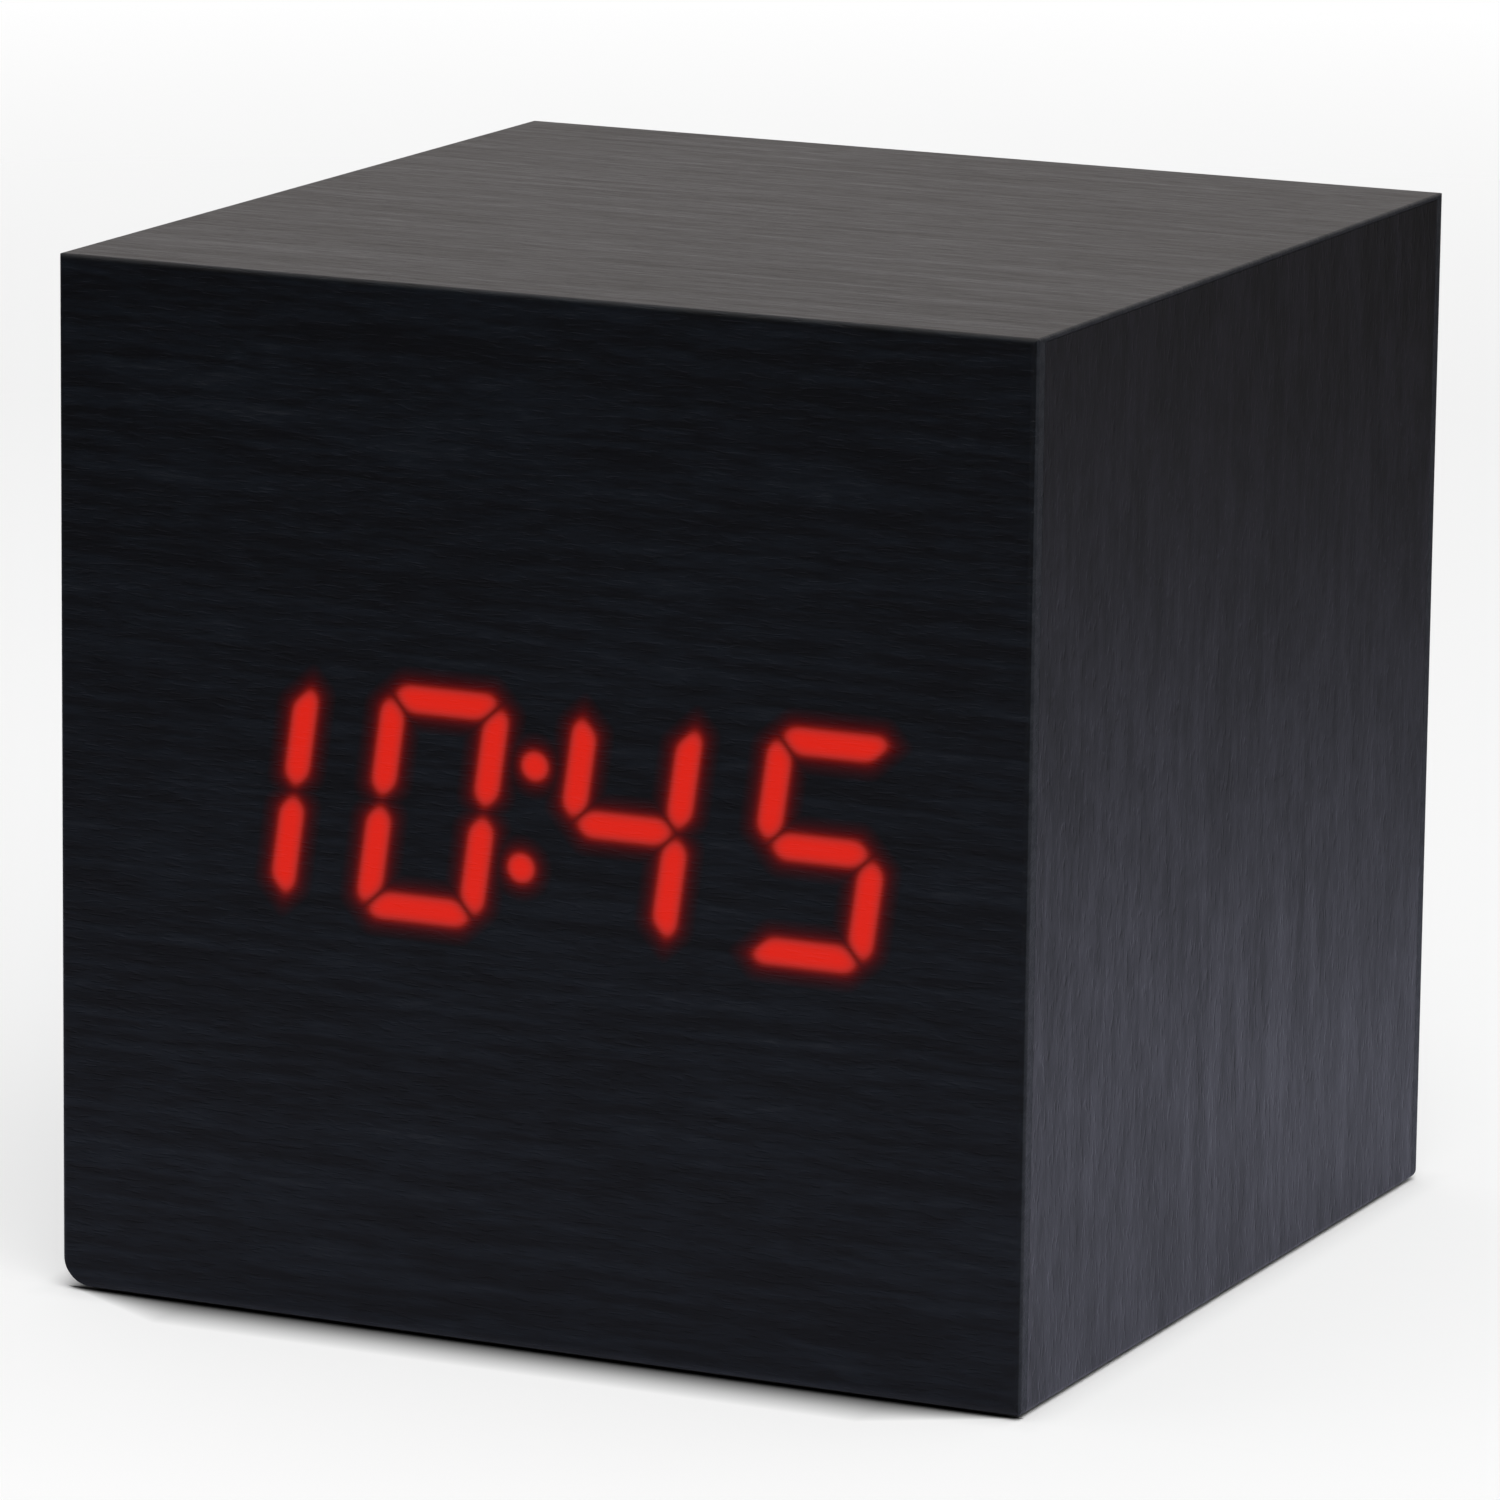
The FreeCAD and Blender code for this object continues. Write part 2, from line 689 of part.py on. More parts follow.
def base_screws():
    """Four screws through the base plate into the glue blocks."""
    screws = [
        screw("z", c, PLATE_BOTTOM + 1.2, 1, (2.0, 1.1), 0.9, 8.6)
        for c in four_corners(BASE_SCREW, BASE_SCREW)
    ]
    return Part.makeCompound(screws)


def battery_cell(y, pole):
    """An AAA cell, its nub pointing along +X or -X."""
    can = rod("x", CELL_RADIUS, 0, CELL_LENGTH - NUB, (y, CELL_Z))
    can = can.makeFillet(0.5, can.Edges[:1] + can.Edges[2:])
    nub = rod("x", NUB_RADIUS, CELL_LENGTH - NUB - 0.1, CELL_LENGTH, (y, CELL_Z))
    cell = joined(can, nub)
    cell.translate(vector(CELL_END - CELL_LENGTH, 0, 0))
    if pole < 0:
        cell.rotate(vector(0, y, 0), ALONG["z"], 180)
    return cell


def contact_plate(side, y0, y1, tab_y=None):
    """Spring steel plate on one end wall of the bay, with a solder tab if tab_y is given."""
    x0, x1 = sorted((side * CELL_END, side * BAY_X))
    plate = box(x0, x1, y0, y1, PLATE_TOP + 0.6, BAY_CEILING - 0.4)
    if tab_y is not None:
        tab = box(x0, x1, tab_y - 1.2, tab_y + 1.2, BAY_CEILING - 0.4, BAY_CEILING + 3.2)
        plate = joined(plate, tab)
    return plate


def contact_spring(y, pole):
    """Conical wire spring between the minus end of a cell and its plate, wound in half turns."""
    height = SPRING_LENGTH - 2.1 * SPRING_WIRE
    bends = []
    for number in range(SPRING_HALF_TURNS + 1):
        share = number / SPRING_HALF_TURNS
        reach = SPRING_NARROW + (SPRING_WIDE - SPRING_NARROW) * share
        bends.append(vector(-height * share, 0, reach * (-1) ** number))
    arcs = []
    for number, (start, end) in enumerate(zip(bends, bends[1:])):
        bulge = ALONG["y"] * ((end - start).Length / 2 * (-1) ** number)
        arcs.append(Part.Arc(start, (start + end) / 2 + bulge, end).toShape())
    section = Part.Wire(Part.makeCircle(SPRING_WIRE, bends[0], ALONG["y"]))
    spring = Part.Wire(arcs).makePipeShell([section], True, True)
    spring.translate(vector(CELL_END - CELL_LENGTH - 1.05 * SPRING_WIRE, y, CELL_Z))
    if pole < 0:
        spring.rotate(vector(0, y, 0), ALONG["z"], 180)
    return spring


def lead(side, start_y):
    """Insulated wire from a terminal's tab to the main board."""
    route = [
        (start_y, LEAD_LOW),
        (start_y, LEAD_RUN),
        (LEAD_TURN, LEAD_RUN),
        (LEAD_TURN, LEAD_END),
        (MAIN_BACK, LEAD_END),
    ]
    path = bent_path(route, LEAD_BEND, lambda y, z: vector(side * LEAD_X, y, z))
    end = vector(side * LEAD_X, start_y, LEAD_LOW)
    section = Part.Wire(Part.makeCircle(LEAD_RADIUS, end, ALONG["z"]))
    return path.makePipeShell([section], True, True)


# ---------------------------------------------------------------- rear controls
def control_plate():
    """Tray let into the back, with holes for buttons, jack and microphone, and a flange inside."""
    half_x = CONTROL_WIDTH / 2
    half_z = CONTROL_HEIGHT / 2
    centre = (0, CONTROL_Z)
    flange_front = INNER - CONTROL_WALL
    tray = rounded_plate(half_x, half_z, centre, flange_front, CONTROL_FACE, CONTROL_CORNER)
    flange = rounded_plate(CONTROL_FLANGE_X, CONTROL_FLANGE_Z, centre, flange_front, INNER, 1.5)
    hollow = rounded_plate(
        half_x - CONTROL_WALL, half_z - CONTROL_WALL, centre,
        flange_front - BEYOND, CONTROL_INSIDE, CONTROL_CORNER - CONTROL_WALL,
    )
    bosses = [rod("y", 2.2, MAIN_FACE, flange_front + 0.2, c) for c in boss_places()]
    holes = [rod("y", 0.84, MAIN_FACE - BEYOND, INNER - 0.4, c) for c in boss_places()]
    for x in BUTTONS.values():
        holes.append(rod("y", CAP_RADIUS + CAP_PLAY, INNER, HALF, (x, CONTROL_Z)))
    holes.append(rod("y", JACK_NOSE_RADIUS + CAP_PLAY, INNER, HALF, (JACK_X, CONTROL_Z)))
    holes.append(rod("y", 0.6, INNER, HALF, (MICROPHONE_X, CONTROL_Z)))
    return less(joined(less(joined(tray, flange), hollow), *bosses), *holes)


def boss_places():
    """Where the main board is screwed to the control plate, in (x, z)."""
    return [(x, CONTROL_Z + z) for x, z in four_corners(BOSS_X, BOSS_Z)]


def button_cap(x):
    """Push button with a flange that keeps it in and a stem that rests on its switch."""
    centre = (x, CONTROL_Z)
    flange_top = CONTROL_INSIDE - 0.1
    cap = rod("y", CAP_RADIUS, flange_top - CAP_FLANGE, CAP_FACE, centre)
    cap = cap.makeFillet(0.3, [e for e in cap.Edges if e.BoundBox.YMin > CAP_FACE - 0.1])
    flange = rod("y", CAP_FLANGE_RADIUS, flange_top - CAP_FLANGE, flange_top, centre)
    stem = rod("y", STEM_RADIUS, PLUNGER_TOP, flange_top - CAP_FLANGE, centre)
    return joined(cap, flange, stem)


def switch_plunger(x):
    """The moving middle of a push switch."""
    return rod("y", PLUNGER_RADIUS, MAIN_FACE + 1.9, PLUNGER_TOP, (x, CONTROL_Z))


def switch_housing(x):
    """The fixed housing of a push switch, on the main board."""
    half = SWITCH / 2
    shell = rounded_plate(half, half, (x, CONTROL_Z), MAIN_FACE, MAIN_FACE + SWITCH_HEIGHT, 0.4)
    well = rod("y", PLUNGER_RADIUS + CAP_PLAY, MAIN_FACE + 0.8, MAIN_FACE + SWITCH_HEIGHT + BEYOND,
               (x, CONTROL_Z))
    return less(shell, well)


def dc_jack_body():
    """Moulded body of the power jack: a stub, a block, a round nose and the plug's bore."""
    half = JACK / 2
    centre = (JACK_X, CONTROL_Z)
    stub = rounded_plate(JACK_STUB / 2, JACK_STUB / 2, centre, JACK_REAR, MAIN_FACE, 0.5)
    block = rounded_plate(half, half, centre, MAIN_FACE, CONTROL_INSIDE, 0.5)
    nose = rod("y", JACK_NOSE_RADIUS, CONTROL_INSIDE, JACK_MOUTH, centre)
    bore = rod("y", JACK_BORE_RADIUS, JACK_BORE_FLOOR, JACK_MOUTH + BEYOND, centre)
    tail_hole = jack_tail(JACK_REAR - BEYOND, JACK_BORE_FLOOR + BEYOND)
    low = CONTROL_Z - half
    slot = box(JACK_X - 0.9, JACK_X + 0.9, 22.2, 27.8, low - BEYOND, CONTROL_Z)
    return less(joined(stub, block, nose), bore, tail_hole, slot)


def jack_tail(y0, y1):
    """The square tail of the centre pin."""
    half = JACK_TAIL / 2
    return box(JACK_X - half, JACK_X + half, y0, y1, CONTROL_Z - half, CONTROL_Z + half)


def dc_jack_pin():
    """Centre pin of the power jack, with a square tail through the body."""
    centre = (JACK_X, CONTROL_Z)
    pin = rod("y", JACK_PIN_RADIUS, JACK_BORE_FLOOR, JACK_PIN_TIP, centre)
    pin = pin.makeFillet(0.3, [e for e in pin.Edges if e.BoundBox.YMin > JACK_PIN_TIP - 0.1])
    return joined(pin, jack_tail(JACK_REAR - 1.4, JACK_BORE_FLOOR))


def dc_jack_leaf():
    """Leaf that presses on the plug's barrel, in the slot under the bore."""
    low = CONTROL_Z - JACK / 2
    outline = [
        (22.2, low + 0.2),
        (22.2, low + 0.5),
        (25.0, low + 1.9),
        (27.8, low + 0.5),
        (27.8, low + 0.2),
        (25.0, low + 1.6),
    ]
    return prism(outline, "x", JACK_X - 0.7, JACK_X + 0.7)


# ---------------------------------------------------------------- main board
def main_board():
    """Main circuit board, screwed to the control plate, notched for the jack."""
    board = box(-MAIN_HALF_X, MAIN_HALF_X, MAIN_BACK, MAIN_FACE, MAIN_LOW, MAIN_HIGH)
    board = rounded(board, "y", 1.5)
    half = JACK_STUB / 2 + 0.2
    notch = box(JACK_X - half, JACK_X + half, MAIN_BACK - BEYOND, MAIN_FACE + BEYOND,
                CONTROL_Z - half, CONTROL_Z + half)
    holes = [rod("y", 1.05, MAIN_BACK - BEYOND, MAIN_FACE + BEYOND, c) for c in boss_places()]
    return less(board, notch, *holes)


def board_screws():
    """Four screws through the main board into the control plate's bosses."""
    screws = [screw("y", c, MAIN_BACK, 1, (1.8, 1.0), 0.8, 5.0) for c in boss_places()]
    return Part.makeCompound(screws)


def clock_chip():
    """The chip that keeps the time, on the inner face of the main board."""
    chip = outline_chip(10.0, 3.9, 1.7, 8, 1.27)
    chip.translate(vector(2.0, MAIN_BACK, 45.0))
    return chip


def clock_crystal():
    """Watch crystal in a round can, lying on the main board."""
    can = rod("x", 1.0, 11.0, 17.0, (MAIN_BACK - 1.0, 46.0))
    return can.makeFillet(0.3, [e for e in can.Edges if e.BoundBox.XMin > 16.9])


def smoothing_capacitor():
    """Electrolytic capacitor standing on the main board."""
    can = rod("y", 2.5, MAIN_BACK - 7.0, MAIN_BACK, (-14.0, 30.0))
    return can.makeFillet(0.4, [e for e in can.Edges if e.BoundBox.YMax < MAIN_BACK - 6.9])


def buzzer():
    """Alarm sounder: a round can with a hole in its face."""
    can = rod("y", 4.5, MAIN_BACK - 5.0, MAIN_BACK, (BUZZER_X, BUZZER_Z))
    return less(can, rod("y", 0.8, MAIN_BACK - 6.0, MAIN_BACK - 3.5, (BUZZER_X, BUZZER_Z)))


def microphone():
    """Microphone capsule behind its hole in the control plate."""
    capsule = rod("y", 2.0, MAIN_FACE, MAIN_FACE + 1.5, (MICROPHONE_X, CONTROL_Z))
    return less(capsule, rod("y", 0.5, MAIN_FACE + 1.0, MAIN_FACE + 2.0, (MICROPHONE_X, CONTROL_Z)))


def thermistor():
    """Temperature bead on two wires."""
    bead = Part.makeSphere(1.0, vector(-8.0, MAIN_BACK - 4.0, 48.0))
    legs = [rod("y", 0.2, MAIN_BACK - 4.0, MAIN_BACK, (-8.0 + x, 48.0)) for x in (-0.5, 0.5)]
    return joined(bead, *legs)


def ribbon_sockets():
    """The two plug sockets of the ribbon cable, one on each board."""
    width, depth, height = SOCKET
    low = DISPLAY_SOCKET_Z - height / 2
    on_display = box(-width / 2, width / 2, DISPLAY_BOARD_BACK, DISPLAY_BOARD_BACK + depth, low, low + height)
    low = LEAD_END - height / 2
    on_main = box(-width / 2, width / 2, MAIN_BACK - depth, MAIN_BACK, low, low + height)
    return Part.makeCompound([rounded(on_display, "y", 0.4), rounded(on_main, "y", 0.4)])


def ribbon_cable():
    """Flat cable from the display board to the main board, hanging over the battery bay."""
    start = DISPLAY_BOARD_BACK + SOCKET[1]
    end = MAIN_BACK - SOCKET[1]
    route = [
        (start, DISPLAY_SOCKET_Z),
        (start + 9.0, DISPLAY_SOCKET_Z),
        (start + 15.0, 18.3),
        (end - 11.0, 18.3),
        (end - 5.0, LEAD_END),
        (end, LEAD_END),
    ]
    path = bent_path(route, RIBBON_BEND, lambda y, z: vector(0, y, z))
    half = RIBBON_WIDTH / 2
    corners = [
        vector(x, start, DISPLAY_SOCKET_Z + z)
        for x, z in ((-half, -RIBBON / 2), (half, -RIBBON / 2), (half, RIBBON / 2), (-half, RIBBON / 2))
    ]
    section = Part.makePolygon(corners + corners[:1])
    return path.makePipeShell([section], True, True)


# ---------------------------------------------------------------- the whole clock
def build():
    """Every piece of the clock, by node name."""
    parts = {
        "wrap_film": wrap_film(),
        "left_film": side_film(-1),
        "right_film": side_film(1),
        "front_panel": front_panel(),
        "back_panel": back_panel(),
        "left_panel": upright_board(270),
        "right_panel": upright_board(90),
        "top_panel": top_panel(),
        "corner_blocks": corner_blocks(),
        "glowing_bars": glowing_bars(),
        "display_block": display_block(),
        "segment_diffusers": segment_diffusers(),
        "light_seal": light_seal(),
        "light_chips": light_chips(),
        "display_board": display_board(),
        "display_driver": display_driver(),
        "display_screws": display_screws(),
        "base_plate": base_plate(),
        "battery_door": battery_door(),
        "base_screws": base_screws(),
        "positive_terminal": contact_plate(1, -CELL_PITCH - 4.7, -CELL_PITCH + 4.7, -CELL_PITCH),
        "negative_terminal": contact_plate(-1, CELL_PITCH - 4.7, CELL_PITCH + 4.7, CELL_PITCH),
        "cell_link_left": contact_plate(-1, -CELL_PITCH - 4.7, 4.7),
        "cell_link_right": contact_plate(1, -4.7, CELL_PITCH + 4.7),
        "positive_lead": lead(1, -CELL_PITCH),
        "negative_lead": lead(-1, CELL_PITCH),
        "control_plate": control_plate(),
        "dc_jack_body": dc_jack_body(),
        "dc_jack_pin": dc_jack_pin(),
        "dc_jack_leaf": dc_jack_leaf(),
        "main_board": main_board(),
        "board_screws": board_screws(),
        "clock_chip": clock_chip(),
        "clock_crystal": clock_crystal(),
        "smoothing_capacitor": smoothing_capacitor(),
        "buzzer": buzzer(),
        "microphone": microphone(),
        "thermistor": thermistor(),
        "ribbon_sockets": ribbon_sockets(),
        "ribbon_cable": ribbon_cable(),
    }
    parts.update(feet())
    for number, (y, pole) in enumerate(cell_places(), 1):
        parts[f"battery_cell_{number}"] = battery_cell(y, pole)
        parts[f"contact_spring_{number}"] = contact_spring(y, pole)
    for name, x in BUTTONS.items():
        parts[f"{name}_button"] = button_cap(x)
        parts[f"{name}_switch_plunger"] = switch_plunger(x)
        parts[f"{name}_switch_housing"] = switch_housing(x)
    return parts


def export(parts):
    """Write one STEP file for each piece."""
    os.makedirs("parts", exist_ok=True)
    for name, shape in parts.items():
        shape.exportStep(f"parts/{name}.step")


PARTS = build()
export(PARTS)
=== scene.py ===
"""Looks of a cube desk clock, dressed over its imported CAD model."""

import logging
import math
from collections.abc import Mapping, Sequence
from dataclasses import dataclass
from enum import Enum, IntEnum
from itertools import pairwise

import bpy
import numpy as np
from mathutils import Matrix, Vector
from numpy.typing import NDArray


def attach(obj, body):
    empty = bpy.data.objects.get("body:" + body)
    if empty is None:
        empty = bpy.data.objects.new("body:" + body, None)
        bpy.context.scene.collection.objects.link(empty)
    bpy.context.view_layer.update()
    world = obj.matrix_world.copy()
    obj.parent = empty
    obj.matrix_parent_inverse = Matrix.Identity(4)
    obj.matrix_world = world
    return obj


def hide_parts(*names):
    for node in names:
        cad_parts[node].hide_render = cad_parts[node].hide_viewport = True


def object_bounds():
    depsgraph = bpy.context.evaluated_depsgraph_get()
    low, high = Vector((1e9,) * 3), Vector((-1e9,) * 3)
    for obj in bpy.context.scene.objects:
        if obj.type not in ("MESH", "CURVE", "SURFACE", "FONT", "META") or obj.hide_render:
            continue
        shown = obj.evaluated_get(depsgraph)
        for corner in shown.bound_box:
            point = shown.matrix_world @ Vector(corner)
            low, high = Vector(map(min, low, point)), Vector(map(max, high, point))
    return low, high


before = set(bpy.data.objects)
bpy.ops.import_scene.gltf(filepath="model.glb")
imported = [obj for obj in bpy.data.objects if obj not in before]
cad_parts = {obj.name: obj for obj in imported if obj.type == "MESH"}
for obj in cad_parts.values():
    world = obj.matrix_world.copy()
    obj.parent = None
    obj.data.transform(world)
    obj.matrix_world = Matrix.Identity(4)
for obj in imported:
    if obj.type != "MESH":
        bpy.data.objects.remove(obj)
CAD_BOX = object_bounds()

MM = 0.001
HALF = CAD_BOX[1].x / MM  # half the cube's edge, in millimetres
SLANT = math.sqrt(0.5)  # sine and cosine of half a right angle
LOG = logging.getLogger("cube_clock")

Floats = NDArray[np.float64]
Ints = NDArray[np.int64]
Mesh = tuple[Floats, list[Ints]]
Material = bpy.types.Material
Node = bpy.types.Node
Socket = bpy.types.NodeSocket
Tree = bpy.types.NodeTree
Inputs = Mapping[str | int, object]


# ---------------------------------------------------------------- nodes and colours
def linear(hex_code: str) -> tuple[float, float, float, float]:
    """Turn an sRGB hex value into linear light.

    Args:
        hex_code: Six hex digits, red first.

    Returns:
        Red, green, blue and an alpha of one.
    """
    channels = np.array([int(hex_code[start : start + 2], 16) for start in (0, 2, 4)]) / 255
    bright = ((channels + 0.055) / 1.055) ** 2.4
    red, green, blue = np.where(channels <= 0.04045, channels / 12.92, bright)
    return float(red), float(green), float(blue), 1.0


def add_node(
    tree: Tree,
    kind: str,
    inputs: Inputs | None = None,
    stops: Sequence[tuple[float, str]] = (),
    **settings: object,
) -> Node:
    """Add one shader node with its settings and links.

    Args:
        tree: The node tree.
        kind: The node's type, without the word ShaderNode.
        inputs: For each input, a value, an output, or a node whose first output is meant.
        stops: The places and sRGB colours of a colour ramp.
        settings: The node's own properties.

    Returns:
        The new node.
    """
    node = tree.nodes.new(f"ShaderNode{kind}")
    for name, value in settings.items():
        setattr(node, name, value)
    for name, value in (inputs or {}).items():
        if isinstance(value, Node):
            tree.links.new(value.outputs[0], node.inputs[name])
        elif isinstance(value, Socket):
            tree.links.new(value, node.inputs[name])
        else:
            node.inputs[name].default_value = value
    for number, (place, hex_code) in enumerate(stops):
        ramp = node.color_ramp.elements
        stop = ramp[number] if number < len(ramp) else ramp.new(place)
        stop.position = place
        stop.color = linear(hex_code)
    return node


def mottle(
    tree: Tree, size_mm: Sequence[float], detail: float = 3.0, roughness: float = 0.5
) -> Node:
    """Noise whose patches have a real size along X, Y and Z.

    Args:
        tree: The node tree.
        size_mm: Size of a patch along each axis, in millimetres.
        detail: How many times finer patches are laid over the first.
        roughness: The share of contrast that each finer layer keeps.

    Returns:
        The noise, from nought to one.
    """
    place = add_node(tree, "TexCoord").outputs["Object"]
    scale = [1 / (size * MM) for size in size_mm]
    stretched = add_node(tree, "VectorMath", {0: place, 1: scale}, operation="MULTIPLY")
    look = {"Vector": stretched, "Scale": 1.0, "Detail": detail, "Roughness": roughness}
    return add_node(tree, "TexNoise", look)


def to_the_eye(tree: Tree) -> Node:
    """Tell whether a ray goes to the eye, straight or through something clear.

    Args:
        tree: The node tree.

    Returns:
        One where it does, and nought elsewhere.
    """
    path = add_node(tree, "LightPath").outputs
    straight, through = path["Is Camera Ray"], path["Is Transmission Ray"]
    return add_node(tree, "Math", {0: straight, 1: through}, operation="MAXIMUM")


def tinted(tree: Tree, plain: str, mirrored: str) -> Socket:
    """Give one colour to reflections and another to everything else.

    Args:
        tree: The node tree.
        plain: The colour elsewhere, as an sRGB hex value.
        mirrored: The colour in reflections, as an sRGB hex value.

    Returns:
        The colour.
    """
    glossy = add_node(tree, "LightPath").outputs["Is Glossy Ray"]
    colours = {0: glossy, 6: linear(plain), 7: linear(mirrored)}
    return add_node(tree, "Mix", colours, data_type="RGBA").outputs[2]


def bare_material(name: str) -> Material:
    """Make a material with no nodes.

    Args:
        name: Its name.

    Returns:
        The material.
    """
    material = bpy.data.materials.new(name)
    material.use_nodes = True
    material.node_tree.nodes.clear()
    return material


# ---------------------------------------------------------------- finishes
@dataclass(frozen=True)
class Finish:
    """What every finish has: the name of its material and a recipe for it.

    The sizes of patterns are real ones, in millimetres. Where a pattern is drawn coarser than
    the real one so that it shows, the finish says so.
    """

    name: str

    def recipe(self, tree: Tree) -> Inputs:
        """Say what each input of the Principled shader gets."""
        raise NotImplementedError

    def material(self) -> Material:
        """Build the material from the recipe.

        Returns:
            The material.
        """
        material = bare_material(self.name)
        tree = material.node_tree
        shader = add_node(tree, "BsdfPrincipled", self.recipe(tree))
        add_node(tree, "OutputMaterial", {"Surface": shader})
        return material


class Grain(Enum):
    """Which way the fibres of a film run: the share of their length along X, Y and Z."""

    ACROSS = (1.0, 0.0, 0.0)
    UPRIGHT = (0.0, 0.0, 1.0)

    def stretch(self, length: float, width: float) -> list[float]:
        """Sizes along X, Y and Z of a patch that is long along the fibres."""
        return [width + share * (length - width) for share in self.value]


@dataclass(frozen=True)
class GrainFilm(Finish):
    """Black PVC film, calendered smooth and then embossed with fine wood fibres.

    The emboss gives a dull satin that greys at a flat angle, with faint streaks and short pores.
    A real fibre is about 0.1 mm wide, which is too fine to show, so fibres and pores are drawn
    two to eight times as wide.
    """

    grain: Grain
    dark: str = "030406"
    light: str = "0b1016"
    stretched: str = "26282c"  # colour past the fold round an upright edge: a painted sheen
    tones: tuple[float, float, float] = (0.41, 0.6, 1.0)  # where these three colours stand
    specular: float = 0.18
    satin: float = 0.49
    gloss_swing: float = 0.3  # how much glossier the paler streaks are
    fibre: tuple[float, float] = (2.2, 0.38)  # length and width, as in the next two
    pore: tuple[float, float] = (1.1, 0.18)
    cloud: tuple[float, float] = (14.0, 0.8)
    pore_edge: tuple[float, float] = (0.3, 0.42)  # from a pore's floor to its rim, in the noise
    pore_depth: float = 0.4  # of a fibre's height
    relief: float = 0.032
    fold: float = 0.0  # how much the tone rises past the fold: a painted sheen
    fold_x: float = 30.9  # where the film bends round the case's upright edges

    def recipe(self, tree: Tree) -> Inputs:
        """Lay streaks, pores and soft clouds over each other.

        The tone is the mean of streaks and clouds, raised past the fold by a painted sheen, and the
        height is that of the fibres plus a share of the pores'.

        Args:
            tree: The material's node tree.

        Returns:
            What the shader's inputs get.
        """
        fibres = mottle(tree, self.grain.stretch(*self.fibre), detail=4.0, roughness=0.6)
        pores = mottle(tree, self.grain.stretch(*self.pore), detail=1.0)
        clouds = mottle(tree, self.grain.stretch(*self.cloud), detail=2.0)
        both = add_node(tree, "Math", {0: fibres, 1: clouds}, operation="ADD")
        tone = add_node(tree, "Math", {0: both, 1: 0.5}, operation="MULTIPLY")
        low, high = self.pore_edge
        pits = add_node(tree, "MapRange", {"Value": pores, "From Min": low, "From Max": high})
        raised = {0: pits, 1: self.pore_depth, 2: fibres}
        height = add_node(tree, "Math", raised, operation="MULTIPLY_ADD")
        place = add_node(tree, "TexCoord").outputs["Object"]
        size = add_node(tree, "VectorMath", {0: place}, operation="ABSOLUTE")
        x = add_node(tree, "SeparateXYZ", {0: size})
        # Past the fold the tone rises: a painted sheen on the strip round the upright edges.
        folded = add_node(tree, "Math", {0: x, 1: self.fold_x * MM}, operation="GREATER_THAN")
        paler = add_node(
            tree, "Math", {0: folded, 1: self.fold, 2: tone}, operation="MULTIPLY_ADD"
        )
        stops = list(zip(self.tones, (self.dark, self.light, self.stretched), strict=True))
        gloss = {0: tone, 1: -self.gloss_swing, 2: self.satin + self.gloss_swing / 2}
        return {
            "Base Color": add_node(tree, "ValToRGB", {0: paler}, stops),
            "Roughness": add_node(tree, "Math", gloss, operation="MULTIPLY_ADD"),
            "Specular IOR Level": self.specular,
            "Normal": add_node(tree, "Bump", {"Height": height, "Distance": self.relief * MM}),
        }


